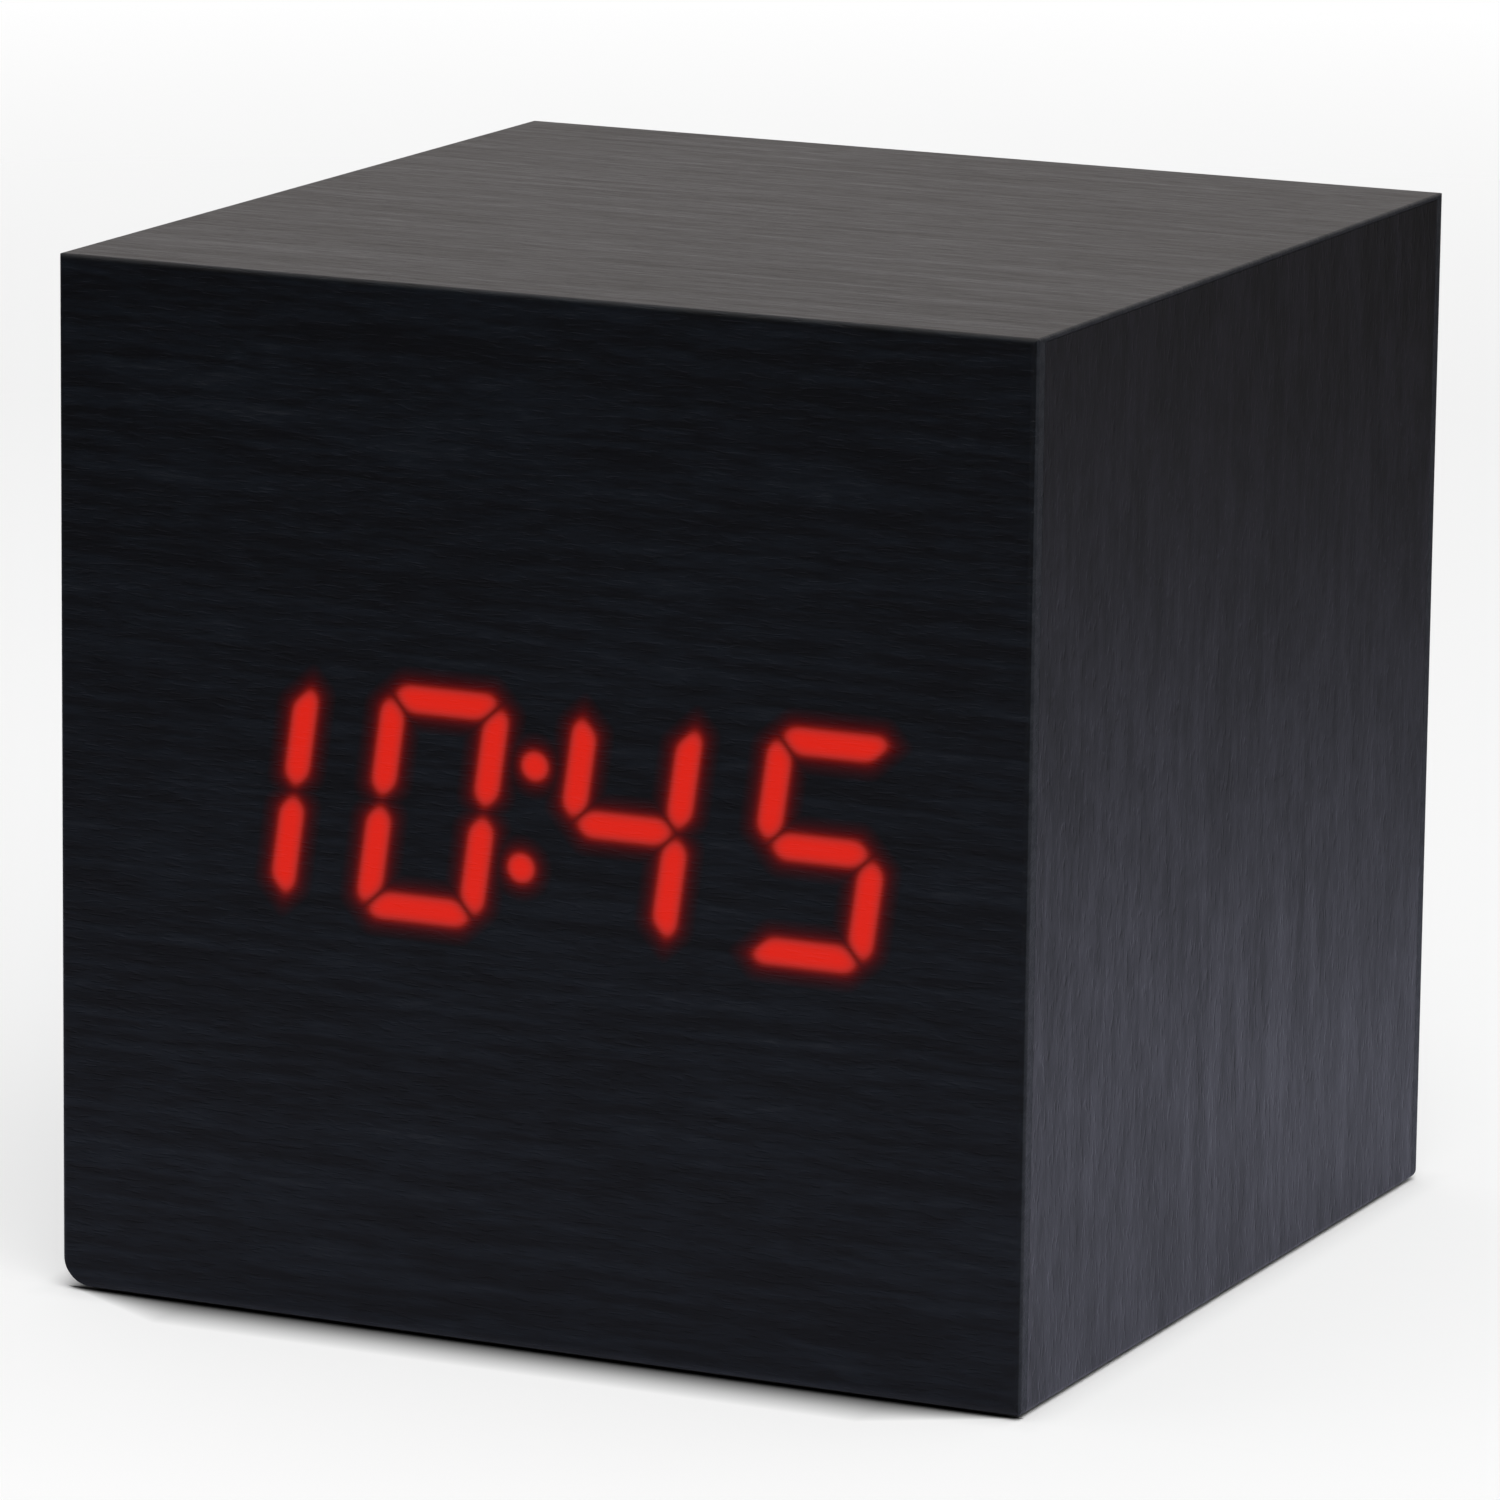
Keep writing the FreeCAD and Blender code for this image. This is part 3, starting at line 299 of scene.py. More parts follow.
@dataclass(frozen=True)
class Digits:
    """Where the lit bars and dots of 10:45 lie on the front, in millimetres.

    Each digit leans, so bars are described in upright coordinates: v is the height above the
    display's middle, and u is X from its centre less the lean at that height.
    """

    centre_x: float = -0.29
    centre_z: float = 31.85
    pitch: float = 12.3  # from one digit to the next
    bar: float = 1.66  # width of a bar
    gap: float = 0.2  # dark line between two bars
    cut: float = 1.18  # slanted corner of an outer bar
    spacing: float = 6.64  # between the centre lines of a digit's upright bars
    height: float = 14.0
    lean: float = math.tan(math.radians(7.9))
    dot_radius: float = 0.885
    dot_spacing: float = 6.06
    rounding: float = 0.6
    end_rounding: float = 0.9
    lit: tuple[str, ...] = ("bc", "abcdef", "bcfg", "acdfg")
    level: str = "adg"  # bars that lie level; the others stand upright

    def bar_place(self, letter: str) -> tuple[Floats, Floats]:
        """Work out where one bar of a digit lies.

        A bar is what six straight lines enclose, parallel two by two: across the bar, and along
        both diagonals.

        Args:
            letter: The bar's usual letter, from a at the top, clockwise, to g in the middle.

        Returns:
            For those three directions, the place of the middle between the two lines and half
            the width between them, from the digit's centre.
        """
        w = self.spacing / 2
        h = (self.height - self.bar) / 2
        t = self.bar / 2
        joint = self.gap / math.sqrt(2)
        past = t - self.cut / 2
        if letter == "g":
            middle = np.zeros(3)
            half = np.array([t, w - joint, w - joint])
        elif letter in "ad":
            middle = np.array([h, h + past, h + past])
            half = np.array([t, w - joint + past, w - joint + past])
        else:
            middle = np.array([w, w + h / 2 + past, h / 2 - w])
            half = np.array([t, h / 2 - joint + past, h / 2 - joint])
        swapped = [0, 2, 1]
        if letter in "cde":
            middle = middle[swapped] * (-1 if letter == "d" else 1, -1, -1)
            half = half[swapped]
        if letter in "ef":
            middle = middle[swapped] * (-1, 1, 1)
            half = half[swapped]
        diagonal = np.array([1, SLANT, SLANT])
        return middle * diagonal, half * diagonal

    def bar_distance(self, tree: Tree, point: Node, number: int, letter: str) -> Node:
        """Distance from the outline of one bar.

        It is the largest of three numbers: how far the point lies past half the width between
        each pair of lines. The largest is taken smoothly, which rounds the corners.

        Args:
            tree: The node tree.
            point: The point along the bar's three directions, in mm from the display's centre.
            number: The digit's number, from nought at the left.
            letter: The bar's letter.

        Returns:
            The distance in mm, negative inside.
        """
        middle, half = self.bar_place(letter)
        shift = (number - (len(self.lit) - 1) / 2) * self.pitch
        middle = middle + shift * np.array([letter not in self.level, SLANT, -SLANT])
        away = add_node(tree, "VectorMath", {0: point, 1: list(middle)}, operation="SUBTRACT")
        size = add_node(tree, "VectorMath", {0: away}, operation="ABSOLUTE")
        past = add_node(tree, "VectorMath", {0: size, 1: list(half)}, operation="SUBTRACT")
        across, rising, falling = add_node(tree, "SeparateXYZ", {0: past}).outputs
        ends = {0: rising, 1: falling, 2: self.end_rounding}
        end = add_node(tree, "Math", ends, operation="SMOOTH_MAX")
        edges = {0: across, 1: end, 2: self.rounding}
        return add_node(tree, "Math", edges, operation="SMOOTH_MAX")

    def distance(self, tree: Tree) -> Node:
        """Distance from the nearest outline of a lit bar or dot.

        For a dot it is the distance from the centre less the radius.

        Args:
            tree: The node tree.

        Returns:
            The distance in mm, negative inside.
        """
        place = add_node(tree, "TexCoord").outputs["Object"]
        to_mm = {0: place, 1: (1 / MM, 0, 1 / MM)}
        flat = add_node(tree, "VectorMath", to_mm, operation="MULTIPLY")
        centre = (self.centre_x, 0, self.centre_z)
        point = add_node(tree, "VectorMath", {0: flat, 1: centre}, operation="SUBTRACT")
        across, up = np.array([1, 0, -self.lean]), np.array([0, 0, 1])
        dots = [
            add_node(tree, "VectorMath", {0: point, 1: list(way)}, operation="DOT_PRODUCT")
            for way in (across, up, (up + across) * SLANT, (up - across) * SLANT)
        ]
        u, v, rising, falling = (dot.outputs["Value"] for dot in dots)
        upright, level = (
            add_node(tree, "CombineXYZ", {0: way, 1: rising, 2: falling}) for way in (u, v)
        )
        reaches = [
            self.bar_distance(tree, level if letter in self.level else upright, number, letter)
            for number, letters in enumerate(self.lit)
            for letter in letters
        ]
        for rise in (-self.dot_spacing / 2, self.dot_spacing / 2):
            dot = {0: point, 1: (rise * self.lean, 0, rise)}
            off = add_node(tree, "VectorMath", dot, operation="DISTANCE").outputs["Value"]
            past = {0: off, 1: self.dot_radius}
            reaches.append(add_node(tree, "Math", past, operation="SUBTRACT"))
        nearest = reaches[0]
        for reach in reaches[1:]:
            nearest = add_node(tree, "Math", {0: nearest, 1: reach}, operation="MINIMUM")
        return nearest


@dataclass(frozen=True)
class GlowingFilm(GrainFilm):
    """The same film over the light shafts: red where a shaft ends, with a short halo round it.

    Light spreads sideways in the film by about its own thickness, so a bar's edge is duller than
    its middle and the dark film beside it glows deep red. Over the lit bars and close to them the
    film's colour is taken down to black, a painted dark shade round the lit bars, so the halo lies
    on plain black and the bars look sharp.
    """

    digits: Digits = Digits()
    spread: float = 0.045  # how far the light carries every outline outwards
    painted_shade_fade: tuple[float, float] = (0.4, 1.3)  # the painted shade round the lit bars fades out between these distances
    front: float = 30.8  # from the clock's middle
    elsewhere: float = 10.0  # added to the distance anywhere but on the front
    glow: tuple[tuple[float, str], ...] = (  # distance from an outline, and the light there
        (-0.65, "da2010"),
        (-0.45, "d22214"),
        (-0.3, "c5251b"),
        (-0.16, "aa221a"),
        (0.0, "770e02"),
        (0.14, "540200"),
        (0.3, "3d0000"),
        (0.45, "2e0000"),
        (0.6, "230000"),
        (0.8, "160000"),
        (1.1, "000000"),
    )

    def recipe(self, tree: Tree) -> Inputs:
        """Add the light to the film and paint dark shade round the lit bars, on its front face
        only.

        Args:
            tree: The material's node tree.

        Returns:
            What the shader's inputs get.
        """
        place = add_node(tree, "TexCoord").outputs["Object"]
        y = add_node(tree, "SeparateXYZ", {0: place}).outputs["Y"]
        hidden = add_node(tree, "Math", {0: y, 1: -self.front * MM}, operation="GREATER_THAN")
        offset = {0: hidden, 1: self.elsewhere, 2: self.digits.distance(tree)}
        away = add_node(tree, "Math", offset, operation="MULTIPLY_ADD")
        low, high = self.glow[0][0], self.glow[-1][0]
        size = 1 / (high - low)
        from_low = {0: away, 1: size, 2: -(low + self.spread) * size}
        share = add_node(tree, "Math", from_low, operation="MULTIPLY_ADD")
        stops = [((reach - low) * size, hex_code) for reach, hex_code in self.glow]
        light = add_node(tree, "ValToRGB", {0: share}, stops)
        # Painted shade: the film's colour goes to black near the lit bars and comes back between
        # these.
        near, far = self.painted_shade_fade
        printed = add_node(tree, "MapRange", {"Value": away, "From Min": near, "From Max": far})
        film = super().recipe(tree)
        base = {0: film["Base Color"], "Scale": printed}
        return {
            **film,
            "Base Color": add_node(tree, "VectorMath", base, operation="SCALE"),
            "Emission Color": light,
            "Emission Strength": 1.0,
        }


@dataclass(frozen=True)
class Moulded(Finish):
    """Plastic, rubber or resin out of a mould, whose surface copies the tool's fine texture.

    A tool's texture is about 0.05 mm across, which is too fine to show, so it is drawn three to
    eight times as coarse.
    """

    dark: str
    light: str
    roughness: float
    texture: float = 0.25
    relief: float = 0.01
    specular: float = 0.5
    blotch: float = 6.0
    tones: tuple[float, float] = (0.35, 0.65)  # where the two colours stand
    gloss_swing: float = 0.24
    clear: float = 0.0
    coat: float = 0.0

    def recipe(self, tree: Tree) -> Inputs:
        """Vary the colour in wide blotches, and gloss and relief with the tool's texture.

        Args:
            tree: The material's node tree.

        Returns:
            What the shader's inputs get.
        """
        fine = mottle(tree, [self.texture] * 3, detail=2.0)
        blotches = mottle(tree, [self.blotch] * 3)
        stops = list(zip(self.tones, (self.dark, self.light), strict=True))
        gloss = {0: fine, 1: self.gloss_swing, 2: self.roughness - self.gloss_swing / 2}
        return {
            "Base Color": add_node(tree, "ValToRGB", {0: blotches}, stops),
            "Roughness": add_node(tree, "Math", gloss, operation="MULTIPLY_ADD"),
            "Specular IOR Level": self.specular,
            "Transmission Weight": self.clear,
            "Coat Weight": self.coat,
            "Normal": add_node(tree, "Bump", {"Height": fine, "Distance": self.relief * MM}),
        }


@dataclass(frozen=True)
class Plated(Finish):
    """Drawn or stamped steel under a thin plating: fine lines that stretch its highlights.

    The lines are about 0.01 mm wide, which is too fine to show, so they are drawn five times as
    wide.
    """

    dark: str
    light: str
    roughness: float
    lines: tuple[float, float, float] = (2.5, 0.05, 0.05)
    stain: float = 2.5
    tones: tuple[float, float] = (0.3, 0.7)  # where the two colours stand
    gloss_swing: float = 0.3
    relief: float = 0.003

    def recipe(self, tree: Tree) -> Inputs:
        """Vary the colour in faint stains, and gloss and relief with the lines.

        Args:
            tree: The material's node tree.

        Returns:
            What the shader's inputs get.
        """
        lines = mottle(tree, self.lines, detail=2.0)
        stains = mottle(tree, [self.stain] * 3)
        stops = list(zip(self.tones, (self.dark, self.light), strict=True))
        gloss = {0: lines, 1: self.gloss_swing, 2: self.roughness - self.gloss_swing / 2}
        return {
            "Base Color": add_node(tree, "ValToRGB", {0: stains}, stops),
            "Metallic": 1.0,
            "Roughness": add_node(tree, "Math", gloss, operation="MULTIPLY_ADD"),
            "Normal": add_node(tree, "Bump", {"Height": lines, "Distance": self.relief * MM}),
        }


@dataclass(frozen=True)
class Fibreboard(Finish):
    """Sawn fibreboard under black dye: a matt felt of short fibres with paler torn ones.

    A fibre is about 0.03 mm thick, which is too fine to show, so it is drawn four times as
    thick.
    """

    dark: str = "0e0c0b"
    light: str = "2a2420"
    tones: tuple[float, float] = (0.3, 0.85)  # where the two colours stand
    roughness: float = 0.88
    specular: float = 0.3
    fibre: tuple[float, float, float] = (0.5, 0.5, 0.12)
    speck: float = 0.3
    speck_edge: tuple[float, float] = (0.62, 0.76)  # from plain board to a torn fibre, in noise
    speck_tone: float = 0.5
    relief: float = 0.05

    def recipe(self, tree: Tree) -> Inputs:
        """Mix fibres and torn specks.

        Args:
            tree: The material's node tree.

        Returns:
            What the shader's inputs get.
        """
        fibres = mottle(tree, self.fibre, detail=4.0, roughness=0.7)
        specks = mottle(tree, [self.speck] * 3, detail=1.0)
        low, high = self.speck_edge
        ends = {"From Min": low, "From Max": high, "To Max": self.speck_tone}
        torn = add_node(tree, "MapRange", {"Value": specks, **ends})
        tone = add_node(tree, "Math", {0: fibres, 1: torn}, operation="ADD")
        stops = list(zip(self.tones, (self.dark, self.light), strict=True))
        return {
            "Base Color": add_node(tree, "ValToRGB", {0: tone}, stops),
            "Roughness": self.roughness,
            "Specular IOR Level": self.specular,
            "Normal": add_node(tree, "Bump", {"Height": fibres, "Distance": self.relief * MM}),
        }


@dataclass(frozen=True)
class SolderMask(Finish):
    """Glass-epoxy board under green solder mask, glossy, with copper tracks as paler lines.

    The tracks are about 0.3 mm wide, and the mask lies a little higher over them.
    """

    mask: str = "0b3a1e"
    track: str = "1f6b3d"
    pitch: float = 1.9
    unevenness: float = 0.35
    track_edge: tuple[float, float] = (0.05, 0.09)  # from a track to the board, in pitches
    roughness: float = 0.3
    coat: float = 0.3
    relief: float = 0.03

    def recipe(self, tree: Tree) -> Inputs:
        """Draw the tracks along the borders of slightly uneven square cells.

        Args:
            tree: The material's node tree.

        Returns:
            What the shader's inputs get.
        """
        place = add_node(tree, "TexCoord").outputs["Object"]
        look = {"Vector": place, "Scale": 1 / (self.pitch * MM), "Randomness": self.unevenness}
        border = add_node(tree, "TexVoronoi", look, feature="DISTANCE_TO_EDGE")
        low, high = self.track_edge
        ends = {"From Min": low, "From Max": high, "To Min": 1.0, "To Max": 0.0}
        track = add_node(tree, "MapRange", {"Value": border, **ends})
        stops = [(0.0, self.mask), (1.0, self.track)]
        return {
            "Base Color": add_node(tree, "ValToRGB", {0: track}, stops),
            "Roughness": self.roughness,
            "Coat Weight": self.coat,
            "Normal": add_node(tree, "Bump", {"Height": track, "Distance": self.relief * MM}),
        }


@dataclass(frozen=True)
class Ribbon(Finish):
    """Flat cable: ten grey PVC wires welded side by side, the first one red.

    Extruded PVC has an even satin; each wire is painted paler along its top and darker where it
    meets the next, a painted highlight and painted shade.
    """

    # Painted shade between the wires, painted highlight along their tops, and where the highlight
    # starts.
    groove_shade: str = "6d6e70"
    crown_highlight: str = "a2a3a5"
    first: str = "9e1d18"
    highlight_from: float = 0.7
    roughness: float = 0.45
    pitch: float = 1.27
    half_width: float = 6.35
    relief: float = 0.25

    def recipe(self, tree: Tree) -> Inputs:
        """Round each wire with a sine of X, paint its highlight and shade from that, and colour the
        first one.

        Args:
            tree: The material's node tree.

        Returns:
            What the shader's inputs get.
        """
        place = add_node(tree, "TexCoord").outputs["Object"]
        x = add_node(tree, "SeparateXYZ", {0: place})
        turns = {0: x, 1: 2 * math.pi / (self.pitch * MM), 2: math.pi / 2}
        angle = add_node(tree, "Math", turns, operation="MULTIPLY_ADD")
        wave = add_node(tree, "Math", {0: angle}, operation="SINE")
        round_top = add_node(tree, "Math", {0: wave, 1: 0.5, 2: 0.5}, operation="MULTIPLY_ADD")
        # Painted highlight along each wire's top and painted shade between the wires.
        stops = [(0.0, self.groove_shade), (self.highlight_from, self.crown_highlight)]
        grey = add_node(tree, "ValToRGB", {0: round_top}, stops)
        first_wire = {0: x, 1: (self.pitch - self.half_width) * MM}
        edge = add_node(tree, "Math", first_wire, operation="LESS_THAN")
        colours = {0: edge, 6: grey, 7: linear(self.first)}
        bump = {"Height": round_top, "Distance": self.relief * MM}
        return {
            "Base Color": add_node(tree, "Mix", colours, data_type="RGBA").outputs[2],
            "Roughness": self.roughness,
            "Normal": add_node(tree, "Bump", bump),
        }


# ---------------------------------------------------------------- surfaces
def make_piece(
    name: str,
    mesh: Mesh,
    materials: Sequence[Material],
    numbers: Ints | None = None,
    smooth: bool = True,
) -> bpy.types.Object:
    """Make an object at the origin from arrays.

    Args:
        name: The object's name.
        mesh: Rows of X, Y, Z in millimetres, and arrays of faces with a number of corners each.
        materials: The object's materials.
        numbers: For each face, the number of its material.
        smooth: Whether the faces are shaded smooth.

    Returns:
        The object.
    """
    points, faces = mesh
    corners = np.concatenate([block.ravel() for block in faces])
    totals = np.concatenate([np.full(len(block), block.shape[1]) for block in faces])
    data = bpy.data.meshes.new(name)
    data.vertices.add(len(points))
    data.vertices.foreach_set("co", (points * MM).astype(np.float32).ravel())
    data.loops.add(len(corners))
    data.loops.foreach_set("vertex_index", corners.astype(np.int32))
    data.polygons.add(len(totals))
    data.polygons.foreach_set("loop_start", (np.cumsum(totals) - totals).astype(np.int32))
    for material in materials:
        data.materials.append(material)
    if numbers is not None:
        data.polygons.foreach_set("material_index", numbers.astype(np.int32))
    data.polygons.foreach_set("use_smooth", np.full(len(totals), smooth))
    data.update(calc_edges=True)
    piece = bpy.data.objects.new(name, data)
    bpy.context.scene.collection.objects.link(piece)
    return piece


def ring_quads(rings: int, steps: int, closed: bool = False) -> Ints:
    """Join neighbouring rings of points, where point k of ring r has number r times steps plus k.

    Args:
        rings: How many rings.
        steps: How many points each ring has.
        closed: Whether the last ring is joined to the first.

    Returns:
        The quads.
    """
    here = np.arange(steps)
    after = (here + 1) % steps
    ring = steps * np.arange(rings if closed else rings - 1)[:, None]
    beyond = (ring + steps) % (steps * rings)
    corners = [ring + here, beyond + here, beyond + after, ring + after]
    return np.stack(corners, axis=2).reshape(-1, 4)


def polygon(centre: Sequence[float], radius: float, sides: int, turn: float = 0.0) -> Floats:
    """Corners of a regular polygon: the centre plus the radius times (cos a, sin a)."""
    angles = turn + np.linspace(0, 2 * np.pi, sides, endpoint=False)
    return np.array(centre) + radius * np.stack([np.cos(angles), np.sin(angles)], axis=1)


def plus_sign(centre: Sequence[float], arm: float, half: float) -> Floats:
    """Corners of a plus sign: three corners of one arm, turned by four right angles.

    Args:
        centre: The sign's centre.
        arm: Length of an arm from the centre.
        half: Half an arm's width.

    Returns:
        The twelve corners.
    """
    corners = np.array([[arm, -half], [arm, half], [half, half]])
    turns = [np.array([[c, s], [-s, c]]) for c, s in ((1, 0), (0, 1), (-1, 0), (0, -1))]
    return np.array(centre) + np.concatenate([corners @ turn for turn in turns])


def rectangle(centre: Sequence[float], reach: float, half: float) -> Floats:
    """Corners of a rectangle: the centre, reach to both sides, and half up and down."""
    return np.array(centre) + [[-reach, -half], [reach, -half], [reach, half], [-reach, half]]


def turned(profile: Floats, steps: int) -> Mesh:
    """Turn a profile once about the X axis.

    A point (along, radius) becomes (along, radius times cos a, radius times sin a) for every
    angle a. The first and the last point lie on the axis and close the surface.

    Args:
        profile: Rows of (along, radius), with rising X.
        steps: How many angles.

    Returns:
        The points, and the faces as quads and as the triangles at both poles.
    """
    along, radius = profile[1:-1, :1], profile[1:-1, 1:]
    cos, sin = polygon((0, 0), 1, steps).T
    rings = np.stack([along + 0 * cos, radius * cos, radius * sin], axis=2).reshape(-1, 3)
    poles = np.array([[profile[0, 0], 0, 0], [profile[-1, 0], 0, 0]])
    here = np.arange(steps)
    after = (here + 1) % steps
    last = steps * (len(along) - 1)
    pole = np.full(steps, len(rings))
    start = np.stack([pole, here, after], axis=1)
    end = np.stack([pole + 1, last + after, last + here], axis=1)
    return np.concatenate([rings, poles]), [ring_quads(len(along), steps), start, end]


def slab(outline: Floats, axis: int, low: float, high: float) -> Mesh:
    """Carry a flat outline straight along one axis and close both ends.

    Args:
        outline: Rows of the two other coordinates, in the order X, Y, Z, anticlockwise.
        axis: 1 or 2 for Y or Z.
        low: Where the slab starts.
        high: Where it ends.

    Returns:
        The points, and the faces as quads and as the two ends.
    """
    count = len(outline)
    points = np.concatenate([np.insert(outline, axis, place, axis=1) for place in (low, high)])
    here = np.arange(count)
    after = (here + 1) % count
    sides = np.stack([here, after, after + count, here + count], axis=1)
    faces = [sides, here[None, ::-1], here[None] + count]
    return points, [block[:, ::-1] for block in faces] if axis == 1 else faces


def framed(outline: Floats, width: float, low: float, high: float) -> Mesh:
    """Carry a rectangular profile round a closed outline that stands across Y.

    Every corner of the outline gives four points: itself and the same point moved towards the
    outline's middle by the width, each at both places along Y.

    Args:
        outline: Rows of X and Z, anticlockwise.
        width: How wide the frame is.
        low: Where the frame starts along Y.
        high: Where it ends.

    Returns:
        The points and the quads.
    """
    middle = outline.mean(axis=0)
    away = outline - middle
    inner = middle + away * (1 - width / np.abs(away).max(axis=0))
    rows = [(outline, low), (outline, high), (inner, high), (inner, low)]
    points = np.concatenate([np.insert(row, 1, place, axis=1) for row, place in rows])
    return points, [ring_quads(len(rows), len(outline), closed=True)]


def scattered(mesh: Mesh, places: Floats) -> Mesh:
    """Repeat a mesh at several places: every point plus every place.

    Args:
        mesh: The mesh.
        places: Rows of X, Y, Z in millimetres.

    Returns:
        All the repeats as one mesh.
    """
    points, faces = mesh
    moved = (points[None] + places[:, None]).reshape(-1, 3)
    steps = len(points) * np.arange(len(places))[:, None, None]
    return moved, [(block[None] + steps).reshape(-1, block.shape[1]) for block in faces]


# ---------------------------------------------------------------- dressing
def dress(finish: Finish, *nodes: str) -> Material:
    """Give one finish to some CAD nodes.

    Args:
        finish: The finish.
        nodes: The nodes' names, or none where only new pieces have the finish.

    Returns:
        The finish's material.
    """
    material = finish.material()
    for name in nodes:
        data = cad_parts[name].data
        data.materials.clear()
        data.materials.append(material)
    LOG.info("%s: %s", finish.name, ", ".join(nodes) or "new pieces")
    return material


def seat(piece: bpy.types.Object, body: str, rounding: float = 0.0) -> None:
    """Round a new piece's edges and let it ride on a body.

    Args:
        piece: The new piece.
        body: The CAD body's name.
        rounding: How wide its rounded edges are, in millimetres.
    """
    if rounding:
        bevel = piece.modifiers.new("rounded_edges", "BEVEL")
        bevel.width = rounding * MM
        bevel.segments = 2
    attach(piece, body)
    LOG.info("%s rides on %s", piece.name, body)


# ---------------------------------------------------------------- sub-assemblies
@dataclass
class Case:
    """The box of boards and its films."""

    # The wrap film gets a painted sheen past the fold round its upright edges.
    wrap: GlowingFilm = GlowingFilm("embossed_pvc_film_across", Grain.ACROSS, fold=0.4)
    lit: GlowingFilm = GlowingFilm("embossed_pvc_film_lit", Grain.ACROSS)
    sides: GrainFilm = GrainFilm(
        "embossed_pvc_film_upright",
        Grain.UPRIGHT,
        dark="040405",
        light="1a191e",
        specular=0.31,
        satin=0.42,
        fibre=(2.2, 0.8),
        pore=(1.0, 0.32),
        cloud=(10.0, 1.6),
        relief=0.048,
    )
    board: Fibreboard = Fibreboard("dyed_fibreboard")

    def build(self) -> None:
        """Dress the films and the boards."""
        dress(self.wrap, "wrap_film")
        dress(self.lit, "glowing_bars")
        dress(self.sides, "left_film", "right_film")
        boards = [f"{side}_panel" for side in ("front", "back", "left", "right", "top")]
        dress(self.board, *boards, "corner_blocks")


@dataclass
class Display:
    """The module behind the front board."""

    # White ABS: reflects the light in the shafts, with a soft even gloss.
    block: Moulded = Moulded("moulded_white_abs", "d9d9d4", "e6e6e2", 0.4)
    # Epoxy with a haze of filler: milky, with a wet gloss.
    resin: Moulded = Moulded("cast_cloudy_epoxy", "d8c6c2", "e8d8d4", 0.2, clear=0.3)
    # Silicone dome with yellow phosphor behind it: smooth and pale yellow.
    chip: Moulded = Moulded("cast_silicone_lens", "d9c98a", "efe2ac", 0.2)
    # Closed-cell foam: tiny open bubbles on the cut face, no gloss.
    foam: Moulded = Moulded(
        "cut_polyethylene_foam", "141414", "202020", 0.9, texture=0.18, relief=0.06, specular=0.2
    )

    def build(self) -> None:
        """Dress the display."""
        dress(self.block, "display_block", "ribbon_sockets")
        dress(self.resin, "segment_diffusers")
        dress(self.chip, "light_chips")
        dress(self.foam, "light_seal")


class Skin(IntEnum):
    """What covers a stretch of a cell: the number of its material."""

    STEEL = 0
    SLEEVE = 1
    BAND = 2


@dataclass
class Cell:
    """One AAA cell: a drawn steel can in a printed shrink sleeve, in millimetres."""

    name: str
    y: float
    way: int  # 1 or -1: the side on which its nub lies
    z: float = 8.4
    length: float = 44.5
    radius: float = 5.15
    nub_radius: float = 1.9
    band_from: float = 28.0
    end: float = 23.6  # X of the nub's end
    crease: float = math.radians(35)
    steps: int = 96

    def profile(self) -> tuple[Floats, Ints]:
        """Work out the profile from the minus end to the nub.

        Returns:
            Rows of (distance from the minus end, radius), and for each stretch between two rows
            the number of its material.
        """
        r = self.radius
        n = self.nub_radius
        top = self.length
        steel, sleeve, band = Skin
        table = np.array(
            [
                (0.15, 0.0, steel), (0.15, 3.1, steel), (0.0, 3.4, steel), (0.0, 3.8, steel),
                (0.2, 4.0, steel), (0.2, 4.3, sleeve), (0.06, 4.4, sleeve),
                (0.05, r - 0.3, sleeve), (0.15, r - 0.1, sleeve), (0.4, r, sleeve),
                (self.band_from, r, band), (top - 1.5, r, band), (top - 1.25, r - 0.1, band),
                (top - 1.1, r - 0.35, band), (top - 1.08, r - 0.8, band),
                (top - 1.15, r - 0.95, steel), (top - 1.3, r - 1.05, steel),
                (top - 1.3, n + 0.5, steel), (top - 1.1, n + 0.15, steel), (top - 0.9, n, steel),
                (top - 0.25, n, steel), (top - 0.07, n - 0.1, steel), (top, n - 0.35, steel),
                (top, 0.0, steel),
            ]
        )
        return table[:, :2], table[1:-2, 2].astype(int)

    def build(self, materials: Sequence[Material]) -> None:
        """Make the cell in place of the plain one.

        Args:
            materials: The materials of steel, sleeve and band.
        """
        profile, bands = self.profile()
        points, faces = turned(profile, self.steps)
        points[:, 0] += self.end - self.length
        points[:, :2] *= self.way
        points += (0.0, self.y, self.z)
        caps = np.full(2 * self.steps, Skin.STEEL)
        numbers = np.concatenate([np.repeat(bands, self.steps), caps])
        piece = make_piece(f"{self.name}_sleeved", (points, faces), materials, numbers)
        crisp = piece.modifiers.new("crisp_edges", "EDGE_SPLIT")
        crisp.split_angle = self.crease
        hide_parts(self.name)
        seat(piece, "clock")


